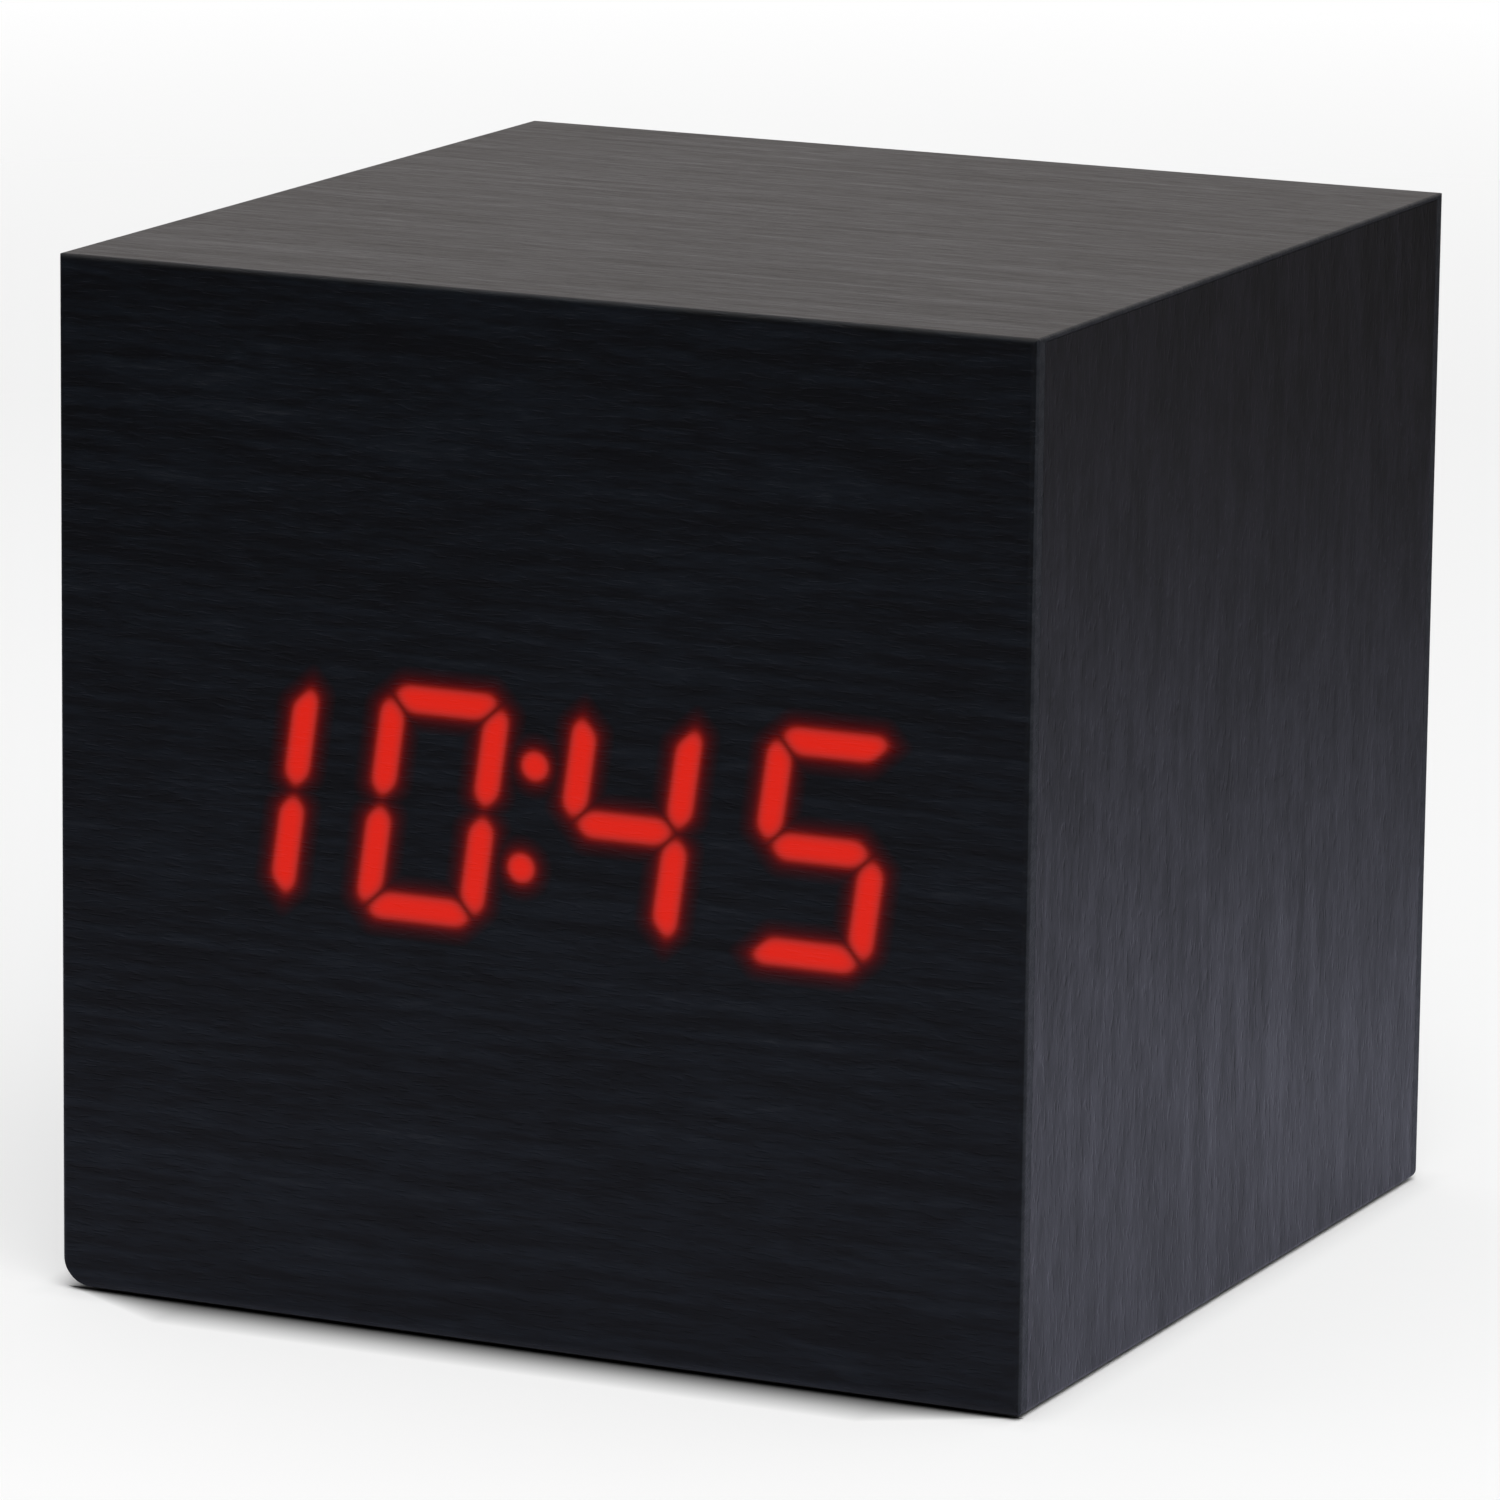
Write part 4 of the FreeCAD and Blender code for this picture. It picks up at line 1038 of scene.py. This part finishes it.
@dataclass
class Base:
    """Base plate, battery bay, door and feet, in millimetres."""

    # ABS from a spark-eroded tool: fine matt grains that break up highlights.
    abs_black: Moulded = Moulded(
        "spark_textured_black_abs", "0d0d0f", "151518", 0.5, texture=0.16, relief=0.02
    )
    # Rubber pressed in a plain tool: matt, with a dusty bloom.
    rubber: Moulded = Moulded(
        "pressed_nitrile_rubber", "161616", "212121", 0.8, texture=0.3, relief=0.02, specular=0.3
    )
    # Zinc on cold-headed steel: bluish grey, soft gloss.
    zinc: Plated = Plated("zinc_plated_steel", "8d8f94", "b9bbc0", 0.3)
    # Nickel on rolled spring steel: warm white, with rolling lines.
    nickel: Plated = Plated("nickel_plated_spring_steel", "a9a69c", "cdcabf", 0.26)
    # Printed PVC shrink sleeve: slick, almost wet gloss in slow waves 2 mm wide.
    sleeve: Moulded = Moulded(
        "printed_pvc_sleeve_dark", "12151c", "191d26", 0.25, texture=2.0, coat=0.4
    )
    band: Moulded = Moulded(
        "printed_pvc_sleeve_copper", "95572b", "a8652f", 0.25, texture=2.0, coat=0.4
    )
    # Extruded PVC round stranded wire: even satin.
    red_wire: Moulded = Moulded("extruded_red_pvc", "9c1410", "ad1d16", 0.4)
    black_wire: Moulded = Moulded("extruded_black_pvc", "0e0e0e", "181818", 0.4)
    cell_pitch: float = 11.0
    ways: tuple[int, ...] = (1, -1, 1)  # the side on which each cell's nub lies
    sign_x: float = 16.0
    sign_arm: float = 1.5
    sign_half: float = 0.3
    sign_height: float = 0.15
    sign_rounding: float = 0.04
    door_inside: float = 2.6
    door_outside: float = 1.0
    arrow_y: float = -8.0

    @property
    def cells(self) -> list[tuple[int, float, int]]:
        """Number, Y and way of each cell, from the front."""
        return [(n, (n - 2) * self.cell_pitch, way) for n, way in enumerate(self.ways, start=1)]

    def build(self) -> None:
        """Dress the base and add the cells and the marks on the door."""
        black = dress(self.abs_black, "base_plate", "battery_door", "control_plate")
        feet = [f"foot_{end}_{side}" for end in ("front", "rear") for side in ("left", "right")]
        dress(self.rubber, *feet)
        dress(self.zinc, "base_screws", "display_screws", "board_screws")
        springs = [f"contact_spring_{number}" for number, _, _ in self.cells]
        contacts = ["positive_terminal", "negative_terminal", "cell_link_left", "cell_link_right"]
        others = ["dc_jack_pin", "dc_jack_leaf", "clock_crystal", "microphone"]
        steel = dress(self.nickel, *springs, *contacts, *others)
        dress(self.red_wire, "positive_lead")
        dress(self.black_wire, "negative_lead")
        skins = [steel, dress(self.sleeve), dress(self.band)]
        for number, y, way in self.cells:
            Cell(f"battery_cell_{number}", y, way).build(skins)
        self.build_door_marks(black)

    def build_door_marks(self, material: Material) -> None:
        """Raise a plus and a minus for each cell inside the door, and an arrow outside it.

        Args:
            material: The door's material.
        """
        inside = (self.door_inside, self.door_inside + self.sign_height)
        outside = (self.door_outside - self.sign_height, self.door_outside)
        arrow = polygon((0, self.arrow_y), self.sign_arm, 3, math.pi / 2)
        marks = {"arrow": slab(arrow, 2, *outside)}
        for number, y, way in self.cells:
            plus = plus_sign((way * self.sign_x, y), self.sign_arm, self.sign_half)
            minus = rectangle((-way * self.sign_x, y), self.sign_arm, self.sign_half)
            marks[f"plus_{number}"] = slab(plus, 2, *inside)
            marks[f"minus_{number}"] = slab(minus, 2, *inside)
        for name, mesh in marks.items():
            piece = make_piece(f"door_{name}", mesh, [material], smooth=False)
            seat(piece, "door", self.sign_rounding)


class Mark(Enum):
    """What is printed on a button: its number of sides, and the angle of its first corner."""

    RING = (48, 0.0)
    UP = (3, math.pi / 2)
    DOWN = (3, -math.pi / 2)


@dataclass
class Controls:
    """The buttons with their marks, their switches and the power jack, in millimetres."""

    # ABS from a polished tool: glossy, with a faint orange peel.
    cap: Moulded = Moulded(
        "polished_black_abs", "1a1a1d", "202024", 0.24, texture=0.4, relief=0.004
    )
    # Epoxy moulding compound: matt grey-black.
    epoxy: Moulded = Moulded("moulded_black_epoxy", "101012", "18181b", 0.45)
    # Pad-printed ink: flat white, a little thicker at its edges.
    ink: Moulded = Moulded(
        "pad_printed_white_ink", "c9c9c5", "d6d6d2", 0.5, texture=0.2, relief=0.004
    )
    buttons: tuple[tuple[str, float, Mark], ...] = (
        ("set", 13.0, Mark.RING),
        ("up", 4.0, Mark.UP),
        ("down", -5.0, Mark.DOWN),
    )
    z: float = 40.0
    face: float = 30.8
    print_height: float = 0.04
    ring_radius: float = 1.0
    ring_width: float = 0.3
    arrow_radius: float = 1.15

    def build(self) -> None:
        """Dress the buttons and print their marks."""
        names = [name for name, _, _ in self.buttons]
        moving = [f"{name}_{part}" for name in names for part in ("button", "switch_plunger")]
        dress(self.cap, *moving)
        housings = [f"{name}_switch_housing" for name in names]
        chips = ["dc_jack_body", "display_driver", "clock_chip", "buzzer", "thermistor"]
        dress(self.epoxy, *housings, *chips)
        white = dress(self.ink)
        for name, x, mark in self.buttons:
            piece = make_piece(f"{name}_mark", self.printed(mark, x), [white], smooth=False)
            seat(piece, f"{name}_key")

    def printed(self, mark: Mark, x: float) -> Mesh:
        """Shape the ink of a mark: a ring, or a triangle that points up or down.

        Args:
            mark: Which mark.
            x: Where its button stands.

        Returns:
            The mesh.
        """
        sides, turn = mark.value
        heights = (self.face, self.face + self.print_height)
        if mark is Mark.RING:
            circle = polygon((x, self.z), self.ring_radius, sides, turn)
            return framed(circle, self.ring_width, *heights)
        return slab(polygon((x, self.z), self.arrow_radius, sides, turn), 1, *heights)


@dataclass
class Electronics:
    """The circuit boards, the flat cable and the small parts on the main board, in millimetres."""

    board: SolderMask = SolderMask("green_solder_mask_on_glass_epoxy")
    ribbon: Ribbon = Ribbon("extruded_grey_pvc_ribbon")
    # Shrunk PET sleeve: smooth and glossy.
    sleeve: Moulded = Moulded("shrunk_blue_pet_sleeve", "121a3c", "1a2450", 0.3)
    # Tin solder, cooled in air: bright, with soft frosted patches.
    solder: Plated = Plated(
        "cooled_tin_solder", "9a9c9e", "c4c6c8", 0.3, lines=(0.4, 0.4, 0.4)
    )
    # Glass over a resistor's black film: glossy.
    glaze: Moulded = Moulded("glazed_resistor", "0b0b0c", "131315", 0.25)
    face: float = 20.8  # Y of the main board's soldered face
    switches: tuple[float, ...] = (13.0, 4.0, -5.0)
    switch_z: float = 40.0
    leg: tuple[float, float] = (3.25, -2.25)  # across and up, from a switch's middle
    leg_radius: float = 0.25
    microphone_pins: tuple[float, ...] = (18.03, 20.57)
    joint_radius: float = 0.75
    joint_height: float = 0.6
    joint_rows: int = 5
    joint_steps: int = 12
    resistors: tuple[float, ...] = (-8.0, -5.2, -2.4, 0.4, 3.2)
    resistor_z: float = 33.0
    resistor: tuple[float, float, float] = (1.25, 0.5, 2.0)  # width, height and length
    resistor_end: float = 0.4
    resistor_rounding: float = 0.03
    glaze_depth: float = 0.04  # how much lower the glazed middle lies than the ends

    def build(self) -> None:
        """Dress the electronics and add the small parts."""
        dress(self.board, "display_board", "main_board")
        dress(self.ribbon, "ribbon_cable")
        dress(self.sleeve, "smoothing_capacitor")
        tin = dress(self.solder)
        self.build_joints(tin)
        self.build_resistors(tin, dress(self.glaze))

    def build_joints(self, tin: Material) -> None:
        """Turn one hollow-sided cone of solder and repeat it at every leg.

        Its radius shrinks from the board to the leg as the square of the way that is left.

        Args:
            tin: The solder's material.
        """
        left = np.linspace(1, 0, self.joint_rows)
        radius = self.leg_radius + (self.joint_radius - self.leg_radius) * left**2
        rows = np.stack([self.joint_height * (1 - left), radius], axis=1)
        profile = np.concatenate([[[0, 0]], rows, [[self.joint_height, 0]]])
        points, faces = turned(profile, self.joint_steps)
        along, across, up = points.T
        cone = (np.stack([across, self.face - along, up], axis=1), faces)
        out, down = self.leg
        legs = [(x + side * out, self.switch_z + down) for x in self.switches for side in (-1, 1)]
        pins = [(x, self.switch_z) for x in self.microphone_pins]
        places = np.insert(np.array(legs + pins), 1, 0.0, axis=1)
        piece = make_piece("solder_joints", scattered(cone, places), [tin])
        seat(piece, "clock")

    def build_resistors(self, tin: Material, glaze: Material) -> None:
        """Set a row of chip resistors, each a glazed middle between two tinned ends.

        Args:
            tin: The ends' material.
            glaze: The middle's material.
        """
        width, height, length = self.resistor
        top = self.face - height
        half = length / 2
        cuts = (-half, self.resistor_end - half, half - self.resistor_end, half)
        places = np.array([(x, 0.0, self.resistor_z) for x in self.resistors])
        layers = (
            ("lower_ends", tin, "nickel_contact", top),
            ("bodies", glaze, "chip_black", top + self.glaze_depth),
            ("upper_ends", tin, "nickel_contact", top),
        )
        for (name, material, slot, low), (start, end) in zip(layers, pairwise(cuts), strict=True):
            outline = rectangle((0, (start + end) / 2), width / 2, (end - start) / 2)
            chips = scattered(slab(outline, 1, low, self.face), places)
            piece = make_piece(f"resistor_{name}", chips, [material], smooth=False)
            seat(piece, "clock", self.resistor_rounding)


# ---------------------------------------------------------------- studio
@dataclass(frozen=True)
class Lamp:
    """A square soft light, with its place and the length of its side in metres."""

    name: str
    place: tuple[float, float, float]
    size: float
    watts: float

    def hang(self, aim: Vector) -> None:
        """Add the light, hidden from the camera.

        Args:
            aim: The point that it looks at, in metres.
        """
        data = bpy.data.lights.new(self.name, "AREA")
        data.size = self.size
        data.energy = self.watts
        light = bpy.data.objects.new(self.name, data)
        turn = (aim - Vector(self.place)).to_track_quat("-Z", "Y").to_matrix().to_4x4()
        light.matrix_world = Matrix.Translation(self.place) @ turn
        light.visible_camera = False
        bpy.context.scene.collection.objects.link(light)


@dataclass
class Studio:
    """A sheet of white paper in a white room, soft lights, and the camera, in metres."""

    # The camera, the origin's place in its view (right and up), and what the feet raise it by.
    azimuth: float = math.radians(25.13)
    elevation: float = math.radians(12.01)
    roll: float = math.radians(0.66)
    distance: float = 0.5792
    aside: tuple[float, float] = (0.00041, -0.0292)
    lift: float = 0.00015
    focal_share: float = 6.3413  # focal length over the sensor's width
    sensor_mm: float = 36.0
    nearest: float = 0.05
    # The lights, and the point that they look at.
    lamps: tuple[Lamp, ...] = (
        Lamp("key", (0.45, -0.55, 0.8), size=0.7, watts=7.2),
        Lamp("overhead", (0.0, 0.0, 0.95), size=1.0, watts=5.6),
        Lamp("low", (0.2, -0.35, -0.6), size=0.7, watts=10.0),
    )
    aim: tuple[float, float, float] = (0.0, 0.0, 0.03)
    # The floor, with a window under the clock.
    floor_radius: float = 0.6
    floor_rings: int = 13
    floor_steps: int = 96
    window: float = 0.027  # half its width
    white: str = "f7f7f7"
    mirrored_white: str = "e2e4fc"
    # The plain white that the eye sees, and the share of it that comes up between these
    # distances past the clock's sides.
    plain_white: str = "fbfbfb"
    plain: float = 0.6
    contact: tuple[float, float] = (-0.0005, 0.002)
    # The painted soft shadow before the front edge, seen by the eye only: how far inside the edge
    # it is darkest and how far before the edge it ends, how fast it gets longer away from the
    # edge's ends, and its least length.
    shadow: tuple[float, float] = (0.0008, 0.0042)
    shadow_end: float = 0.6
    thinnest: float = 1e-6
    # Distances from the middle between which the paper fades out, to the eye and in reflections.
    melting: tuple[float, float] = (0.3, 0.57)
    mirrored: tuple[float, float] = (0.07, 0.25)
    # The wall in reflections: the way to its brightest place, the cosine of the angle from that
    # way at which it is dimmest, and its strength at both.
    bright_way: tuple[float, float, float] = (-0.42, 0.89, 0.2)
    bright_from: float = 0.2
    dim: float = 0.04
    bright: float = 1.06
    # The heights of a way between which the wall comes up, and the share of it left below them.
    horizon: tuple[float, float] = (-0.06, 0.02)
    below: float = 0.05
    # The room's light on matt surfaces, its colour, and its colour in reflections.
    ambient: float = 0.16
    room_white: str = "ffffff"
    mirrored_room: str = "fff7f4"

    def build(self) -> None:
        """Make the floor, the room, the lights and the camera."""
        self.build_floor()
        self.build_room()
        for lamp in self.lamps:
            lamp.hang(Vector(self.aim))
        self.build_camera()
        bpy.context.scene.view_settings.view_transform = "Standard"

    def build_floor(self) -> None:
        """Make the floor: a disc with a square window, through which the underside is lit.

        For every angle a and share s, a point is (1 - s) times the point of the window's edge
        plus s times the radius times (cos a, sin a). The edge's point is half the window's width
        times (cos a, sin a), divided by the larger of their sizes. The shares are the squares of
        even steps from nought to one.
        """
        circle = polygon((0, 0), 1, self.floor_steps)
        edge = self.window / MM * circle / np.abs(circle).max(axis=1, keepdims=True)
        share = np.linspace(0, 1, self.floor_rings)[:, None, None] ** 2
        flat = ((1 - share) * edge + share * self.floor_radius / MM * circle).reshape(-1, 2)
        quads = ring_quads(self.floor_rings, self.floor_steps)
        mesh = (np.insert(flat, 2, 0.0, axis=1), [quads])
        make_piece("floor", mesh, [self.paper()])

    def paper(self) -> Material:
        """White paper that melts into the room towards its edge.

        To the eye it is partly lit and partly plain white, except under and close to the clock,
        so only the contact shadow stays dark, and a painted soft shadow, seen by the eye only, lies
        before the front edge. In reflections only its middle shows, a little blue, which makes them
        fade upwards on the clock's sides. From below it is clear.

        Returns:
            The material.
        """
        material = bare_material("white_paper")
        tree = material.node_tree
        place = add_node(tree, "TexCoord").outputs["Object"]
        seen = to_the_eye(tree)
        unseen = add_node(tree, "Math", {0: 1.0, 1: seen}, operation="SUBTRACT")
        # A painted soft shadow before the front edge, which only the eye sees.
        outside_painted_shadow = self.outside_painted_shadow(tree, place)
        bright = add_node(tree, "Math", {0: outside_painted_shadow, 1: unseen}, operation="MAXIMUM")
        shaded = add_node(tree, "MixShader", {0: bright, 2: self.lit_paper(tree, place, seen)})
        clear = add_node(tree, "BsdfTransparent")
        surface = {0: self.clearness(tree, place), 1: shaded, 2: clear}
        add_node(tree, "OutputMaterial", {"Surface": add_node(tree, "MixShader", surface)})
        return material

    def lit_paper(self, tree: Tree, place: Socket, seen: Node) -> Node:
        """Light the paper, and mix plain white into what the eye sees of its open part.

        Args:
            tree: The node tree.
            place: The place on the paper.
            seen: Whether the eye sees it.

        Returns:
            The shader.
        """
        size = add_node(tree, "VectorMath", {0: place}, operation="ABSOLUTE")
        sides = add_node(tree, "SeparateXYZ", {0: size}).outputs
        reach = add_node(tree, "Math", {0: sides["X"], 1: sides["Y"]}, operation="MAXIMUM")
        near, far = (HALF * MM + step for step in self.contact)
        ends = {"From Min": near, "From Max": far, "To Max": self.plain}
        open_part = add_node(tree, "MapRange", {"Value": reach, **ends})
        share = add_node(tree, "Math", {0: seen, 1: open_part}, operation="MULTIPLY")
        colour = tinted(tree, self.white, self.mirrored_white)
        lit = add_node(tree, "BsdfDiffuse", {"Color": colour})
        plain = add_node(tree, "Emission", {"Color": linear(self.plain_white)})
        return add_node(tree, "MixShader", {0: share, 1: lit, 2: plain})

    def clearness(self, tree: Tree, place: Socket) -> Node:
        """Share by which the paper is clear: far out, nearer in reflections, and from below.

        Args:
            tree: The node tree.
            place: The place on the paper.

        Returns:
            The share, from nought to one.
        """
        away = add_node(tree, "VectorMath", {0: place}, operation="LENGTH").outputs["Value"]
        to_eye, in_mirror = (
            add_node(tree, "MapRange", {"Value": away, "From Min": near, "From Max": far})
            for near, far in (self.melting, self.mirrored)
        )
        glossy = add_node(tree, "LightPath").outputs["Is Glossy Ray"]
        fade = add_node(tree, "Mix", {0: glossy, 2: to_eye, 3: in_mirror}, data_type="FLOAT")
        under = add_node(tree, "NewGeometry").outputs["Backfacing"]
        return add_node(tree, "Math", {0: fade, 1: under}, operation="MAXIMUM")

    def outside_painted_shadow(self, tree: Tree, place: Socket) -> Node:
        """Share of the paper before the clock's front edge that is left out of the painted shadow.

        It rises evenly from nought just inside the edge to one where the painted shadow ends, and
        the painted shadow gets shorter towards both ends of the edge.

        Args:
            tree: The node tree.
            place: The place on the paper.

        Returns:
            The share, from nought to one.
        """
        inside, before = self.shadow
        size = add_node(tree, "VectorMath", {0: place}, operation="ABSOLUTE")
        x = add_node(tree, "SeparateXYZ", {0: size}).outputs["X"]
        y = add_node(tree, "SeparateXYZ", {0: place}).outputs["Y"]
        near_end = {0: x, 1: -self.shadow_end, 2: self.shadow_end * HALF * MM}
        shorter = add_node(tree, "Math", near_end, operation="MULTIPLY_ADD")
        shortest = add_node(tree, "Math", {0: shorter, 1: self.thinnest}, operation="MAXIMUM")
        length = add_node(tree, "Math", {0: shortest, 1: inside + before}, operation="MINIMUM")
        ahead = add_node(tree, "Math", {0: y, 1: HALF * MM - inside}, operation="ADD")
        away = add_node(tree, "Math", {0: ahead}, operation="ABSOLUTE")
        return add_node(tree, "Math", {0: away, 1: length}, operation="DIVIDE", use_clamp=True)

    def build_room(self) -> None:
        """Fill the room: plain white to the eye, even and dim on matt surfaces.

        In reflections it is a wall that brightens far behind the clock and darkens below the
        horizon, and a little warm.
        """
        world = bpy.data.worlds.new("white_room")
        world.use_nodes = True
        bpy.context.scene.world = world
        tree = world.node_tree
        tree.nodes.clear()
        way = add_node(tree, "TexCoord").outputs["Generated"]
        toward = add_node(tree, "VectorMath", {0: way, 1: self.bright_way}, operation="DOT_PRODUCT")
        turned_to = {"Value": toward.outputs["Value"], "From Min": self.bright_from}
        behind = add_node(
            tree, "MapRange", {**turned_to, "To Min": self.dim, "To Max": self.bright}
        )
        height = add_node(tree, "SeparateXYZ", {0: way}).outputs["Z"]
        low, high = self.horizon
        ends = {"From Min": low, "From Max": high, "To Min": self.below}
        above = add_node(tree, "MapRange", {"Value": height, **ends})
        wall = add_node(tree, "Math", {0: behind, 1: above}, operation="MULTIPLY")
        path = add_node(tree, "LightPath").outputs
        glossy = add_node(tree, "Math", {0: path["Is Glossy Ray"], 1: wall}, operation="MULTIPLY")
        matt = {0: path["Is Diffuse Ray"], 1: self.ambient}
        soft = add_node(tree, "Math", matt, operation="MULTIPLY")
        bright = add_node(tree, "Math", {0: to_the_eye(tree), 1: glossy}, operation="MAXIMUM")
        strength = add_node(tree, "Math", {0: bright, 1: soft}, operation="MAXIMUM")
        colour = tinted(tree, self.room_white, self.mirrored_room)
        shown = add_node(tree, "Background", {"Color": colour, "Strength": strength})
        add_node(tree, "OutputWorld", {"Surface": shown})

    def build_camera(self) -> None:
        """Turn the camera round the clock, raise it, roll it a little and step aside."""
        azimuth, elevation = self.azimuth, self.elevation
        right = Vector((math.cos(azimuth), math.sin(azimuth), 0))
        ahead = Vector((-math.sin(azimuth), math.cos(azimuth), 0))
        back = math.sin(elevation) * Vector((0, 0, 1)) - math.cos(elevation) * ahead
        level = Matrix((right, back.cross(right), back))
        turn = (Matrix.Rotation(-self.roll, 3, "Z") @ level).transposed()
        place = turn @ Vector((-self.aside[0], -self.aside[1], self.distance))
        data = bpy.data.cameras.new("camera")
        data.sensor_width = self.sensor_mm
        data.lens = self.focal_share * self.sensor_mm
        data.clip_start = self.nearest
        camera = bpy.data.objects.new("camera", data)
        camera.matrix_world = Matrix.Translation(place + Vector((0, 0, self.lift))) @ turn.to_4x4()
        bpy.context.scene.collection.objects.link(camera)
        bpy.context.scene.camera = camera


def main() -> None:
    """Build the studio and dress the clock, sub-assembly by sub-assembly."""
    logging.basicConfig(level=logging.INFO, format="%(message)s")
    for part in (Studio(), Case(), Display(), Base(), Controls(), Electronics()):
        part.build()
        LOG.info("%s done", type(part).__name__)


if __name__ == "__main__":
    main()
